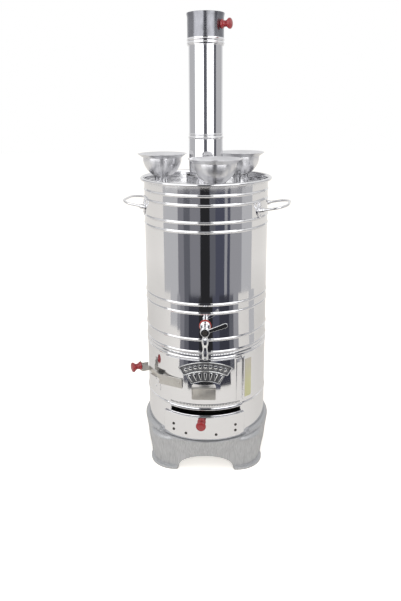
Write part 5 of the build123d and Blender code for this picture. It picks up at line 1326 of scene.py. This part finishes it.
class SAMOVAR_OT_stage(Operator):
    """Builds the pale floor, the soft boxes, the grey cards that the steel shows, and the camera"""

    bl_idname = "samovar.stage"
    bl_label = "Stage"

    def floor(self, stage):
        """A pale round floor. The camera sees it white, the metal a little darker, and it keeps the
        object's shadow."""
        turn = np.linspace(0, 2 * np.pi, 96, endpoint=False)[:, None]
        radius = np.array([0, 0.3, 0.8, 1.5, 3, 6, 12])[None]
        spread = np.broadcast_arrays(radius * np.cos(turn), radius * np.sin(turn), 0 * turn)
        shell = grid(np.stack(spread, axis=-1), wrap_u=True)
        material, output = bare_material("pale_floor")
        tree, tint = material.node_tree, linear(stage.floor)
        path, metal = metal_rays(tree)
        place = add_node(tree, "TexCoord").outputs["Object"]
        away = add_node(tree, "VectorMath", {0: place}, operation="LENGTH").outputs["Value"]
        level = add_node(tree, "MapRange", {
            "Value": away, "From Min": 1.2, "From Max": 2.4,
            "To Min": stage.floor_shown, "To Max": stage.floor_shown_far,
        })
        shown = add_node(tree, "Math", {0: metal, 1: level}, operation="MULTIPLY")
        seen = {0: path["Is Camera Ray"], 1: stage.floor_seen, 2: shown}
        seen = add_node(tree, "Math", seen, operation="MULTIPLY_ADD")
        fill(output, {"Surface": add_node(tree, "AddShader", {
            0: add_node(tree, "BsdfDiffuse", {"Color": tint}),
            1: add_node(tree, "Emission", {"Color": tint, "Strength": seen}),
        })})
        stage_piece("floor", shell, material)

    def world(self, stage):
        """White to the camera, pale grey to the metal, and a soft level light on everything else."""
        world = bpy.data.worlds.new("studio")
        bpy.context.scene.world = world
        world.use_nodes = True
        path, metal = metal_rays(world.node_tree)
        level = {"Value": metal, "To Min": stage.world_light, "To Max": stage.world_shown}
        level = add_node(world.node_tree, "MapRange", level)
        sight = {0: level, 1: path["Is Camera Ray"]}
        sight = add_node(world.node_tree, "Math", sight, operation="MAXIMUM")
        fill(world.node_tree.nodes["Background"], {"Strength": sight, "Color": linear("#FFFFFF")})

    def cards(self, stage):
        """The soft boxes above, the grey cards in front and the dark cards on the floor."""
        far, low, middle, top = stage.card_radius, 0.60, 1.45, 2.60
        ground, apart = 0.005, 0.02
        white = glow("soft_box_white", stage.box_light, "#FFFFFF")
        for name, start, end, bottom, high in (
            ("soft_box_left", -74, -12, low + apart, middle),
            ("soft_box_right", 9, 54, low + apart, middle),
            ("soft_box_high_left", -78, -16, middle, top), ("soft_box_high_right", 15, 76, middle, top),
        ):
            card(name, upright(start, end, bottom, high, far), white, lights=True)
        tones = {
            "pale": "#C4C4C6", "light": "#A0A0A4", "grey": "#86868C", "mid": "#66676E",
            "blue": "#505260", "deep": "#3E3F48", "dark": "#2C2C2E",
        }
        greys = {tone: glow(f"{tone}_card", 1.0, value) for tone, value in tones.items()}
        edges = (-80, -49, -38, -27, -9, 7, 17, 33, 38, 43, 66, 90)
        fronts = ("pale", "grey", "mid", "grey", "dark", "mid", "blue", "light", "blue", "light", "pale")
        for index, (start, end, tone) in enumerate(zip(edges, edges[1:], fronts)):
            card(f"front_card_{index}", upright(start, end, ground, low, far - apart), greys[tone])
        for index, (start, end, near, tone) in enumerate((
            (-66, -52, 1.24, "pale"), (-52, -46, 1.20, "light"), (-46, -38, 0.80, "grey"),
            (-38, -30, 0.70, "mid"), (-30, -12, 0.66, "deep"), (-12, 12, 0.66, "dark"),
            (12, 24, 0.66, "blue"), (24, 42, 0.68, "deep"), (42, 50, 0.80, "mid"),
            (50, 60, 0.95, "light"), (84, 98, 0.95, "pale"),
        )):
            card(f"floor_card_{index}", lying(start, end, near, far, ground), greys[tone])
        for name, start, end, bottom, high, tone in (
            ("gap_card", -12, 9, low, middle, "mid"), ("strip_card", 57, 74, low, middle, "mid"),
            ("high_gap_card", -16, 15, middle, top, "dark"),
            ("side_card_left", -135, -74, low, middle, "pale"),
            ("side_card_right", 74, 135, low, middle, "pale"),
        ):
            card(name, upright(start, end, bottom, high, far + apart), greys[tone])

    def execute(self, context):
        stage = context.scene.samovar_stage
        self.floor(stage)
        self.world(stage)
        self.cards(stage)
        camera = bpy.data.cameras.new("camera")
        camera.lens, camera.sensor_width, camera.shift_y = stage.lens, 36.0, stage.shift
        camera.clip_start, camera.clip_end = 0.05, 50.0
        camera.dof.use_dof = False
        eye = new_object("camera", camera)
        eye.location = around(stage.distance, stage.azimuth, stage.height)
        eye.rotation_euler = np.radians([90 - stage.pitch, stage.roll, stage.yaw])
        context.scene.camera = eye
        context.scene.view_settings.view_transform = "Standard"
        return {"FINISHED"}


# ---------------------------------------------------------------- the add-on
SETTINGS = {
    "samovar_drum": SamovarDrum, "samovar_base": SamovarBase, "samovar_door": SamovarDoor,
    "samovar_top": SamovarTop, "samovar_tap": SamovarTap, "samovar_handles": SamovarHandles,
    "samovar_colours": SamovarColours, "samovar_stage": SamovarStage,
}
OPERATORS = (
    SAMOVAR_OT_stage, SAMOVAR_OT_base, SAMOVAR_OT_firebox, SAMOVAR_OT_ornament, SAMOVAR_OT_tank,
    SAMOVAR_OT_drawer, SAMOVAR_OT_door, SAMOVAR_OT_badge, SAMOVAR_OT_flap, SAMOVAR_OT_latch,
    SAMOVAR_OT_label, SAMOVAR_OT_tap, SAMOVAR_OT_handles, SAMOVAR_OT_lid, SAMOVAR_OT_bowls,
    SAMOVAR_OT_chimney, SAMOVAR_OT_inside,
)


class SAMOVAR_PT_panel(Panel):
    """Lists the sizes, the colours and a button for each piece"""

    bl_idname = "SAMOVAR_PT_panel"
    bl_label = "Samovar"
    bl_space_type = "VIEW_3D"
    bl_region_type = "UI"
    bl_category = "Samovar"

    def draw(self, context):
        for name, group in SETTINGS.items():
            box = self.layout.box()
            box.label(text=group.__name__)
            for field in group.__annotations__:
                box.prop(getattr(context.scene, name), field)
        for operator in OPERATORS:
            self.layout.operator(operator.bl_idname)


def register():
    """Registers the settings, the operators and the panel."""
    for group in SETTINGS.values():
        bpy.utils.register_class(group)
    for name, group in SETTINGS.items():
        setattr(bpy.types.Scene, name, PointerProperty(type=group))
    for operator in (*OPERATORS, SAMOVAR_PT_panel):
        bpy.utils.register_class(operator)


def unregister():
    """Takes them out again."""
    for operator in reversed((*OPERATORS, SAMOVAR_PT_panel)):
        bpy.utils.unregister_class(operator)
    for name in SETTINGS:
        delattr(bpy.types.Scene, name)
    for group in reversed(list(SETTINGS.values())):
        bpy.utils.unregister_class(group)


def main():
    register()
    for operator in OPERATORS:
        group, name = operator.bl_idname.split(".")
        getattr(getattr(bpy.ops, group), name)()


if __name__ == "__main__":
    main()
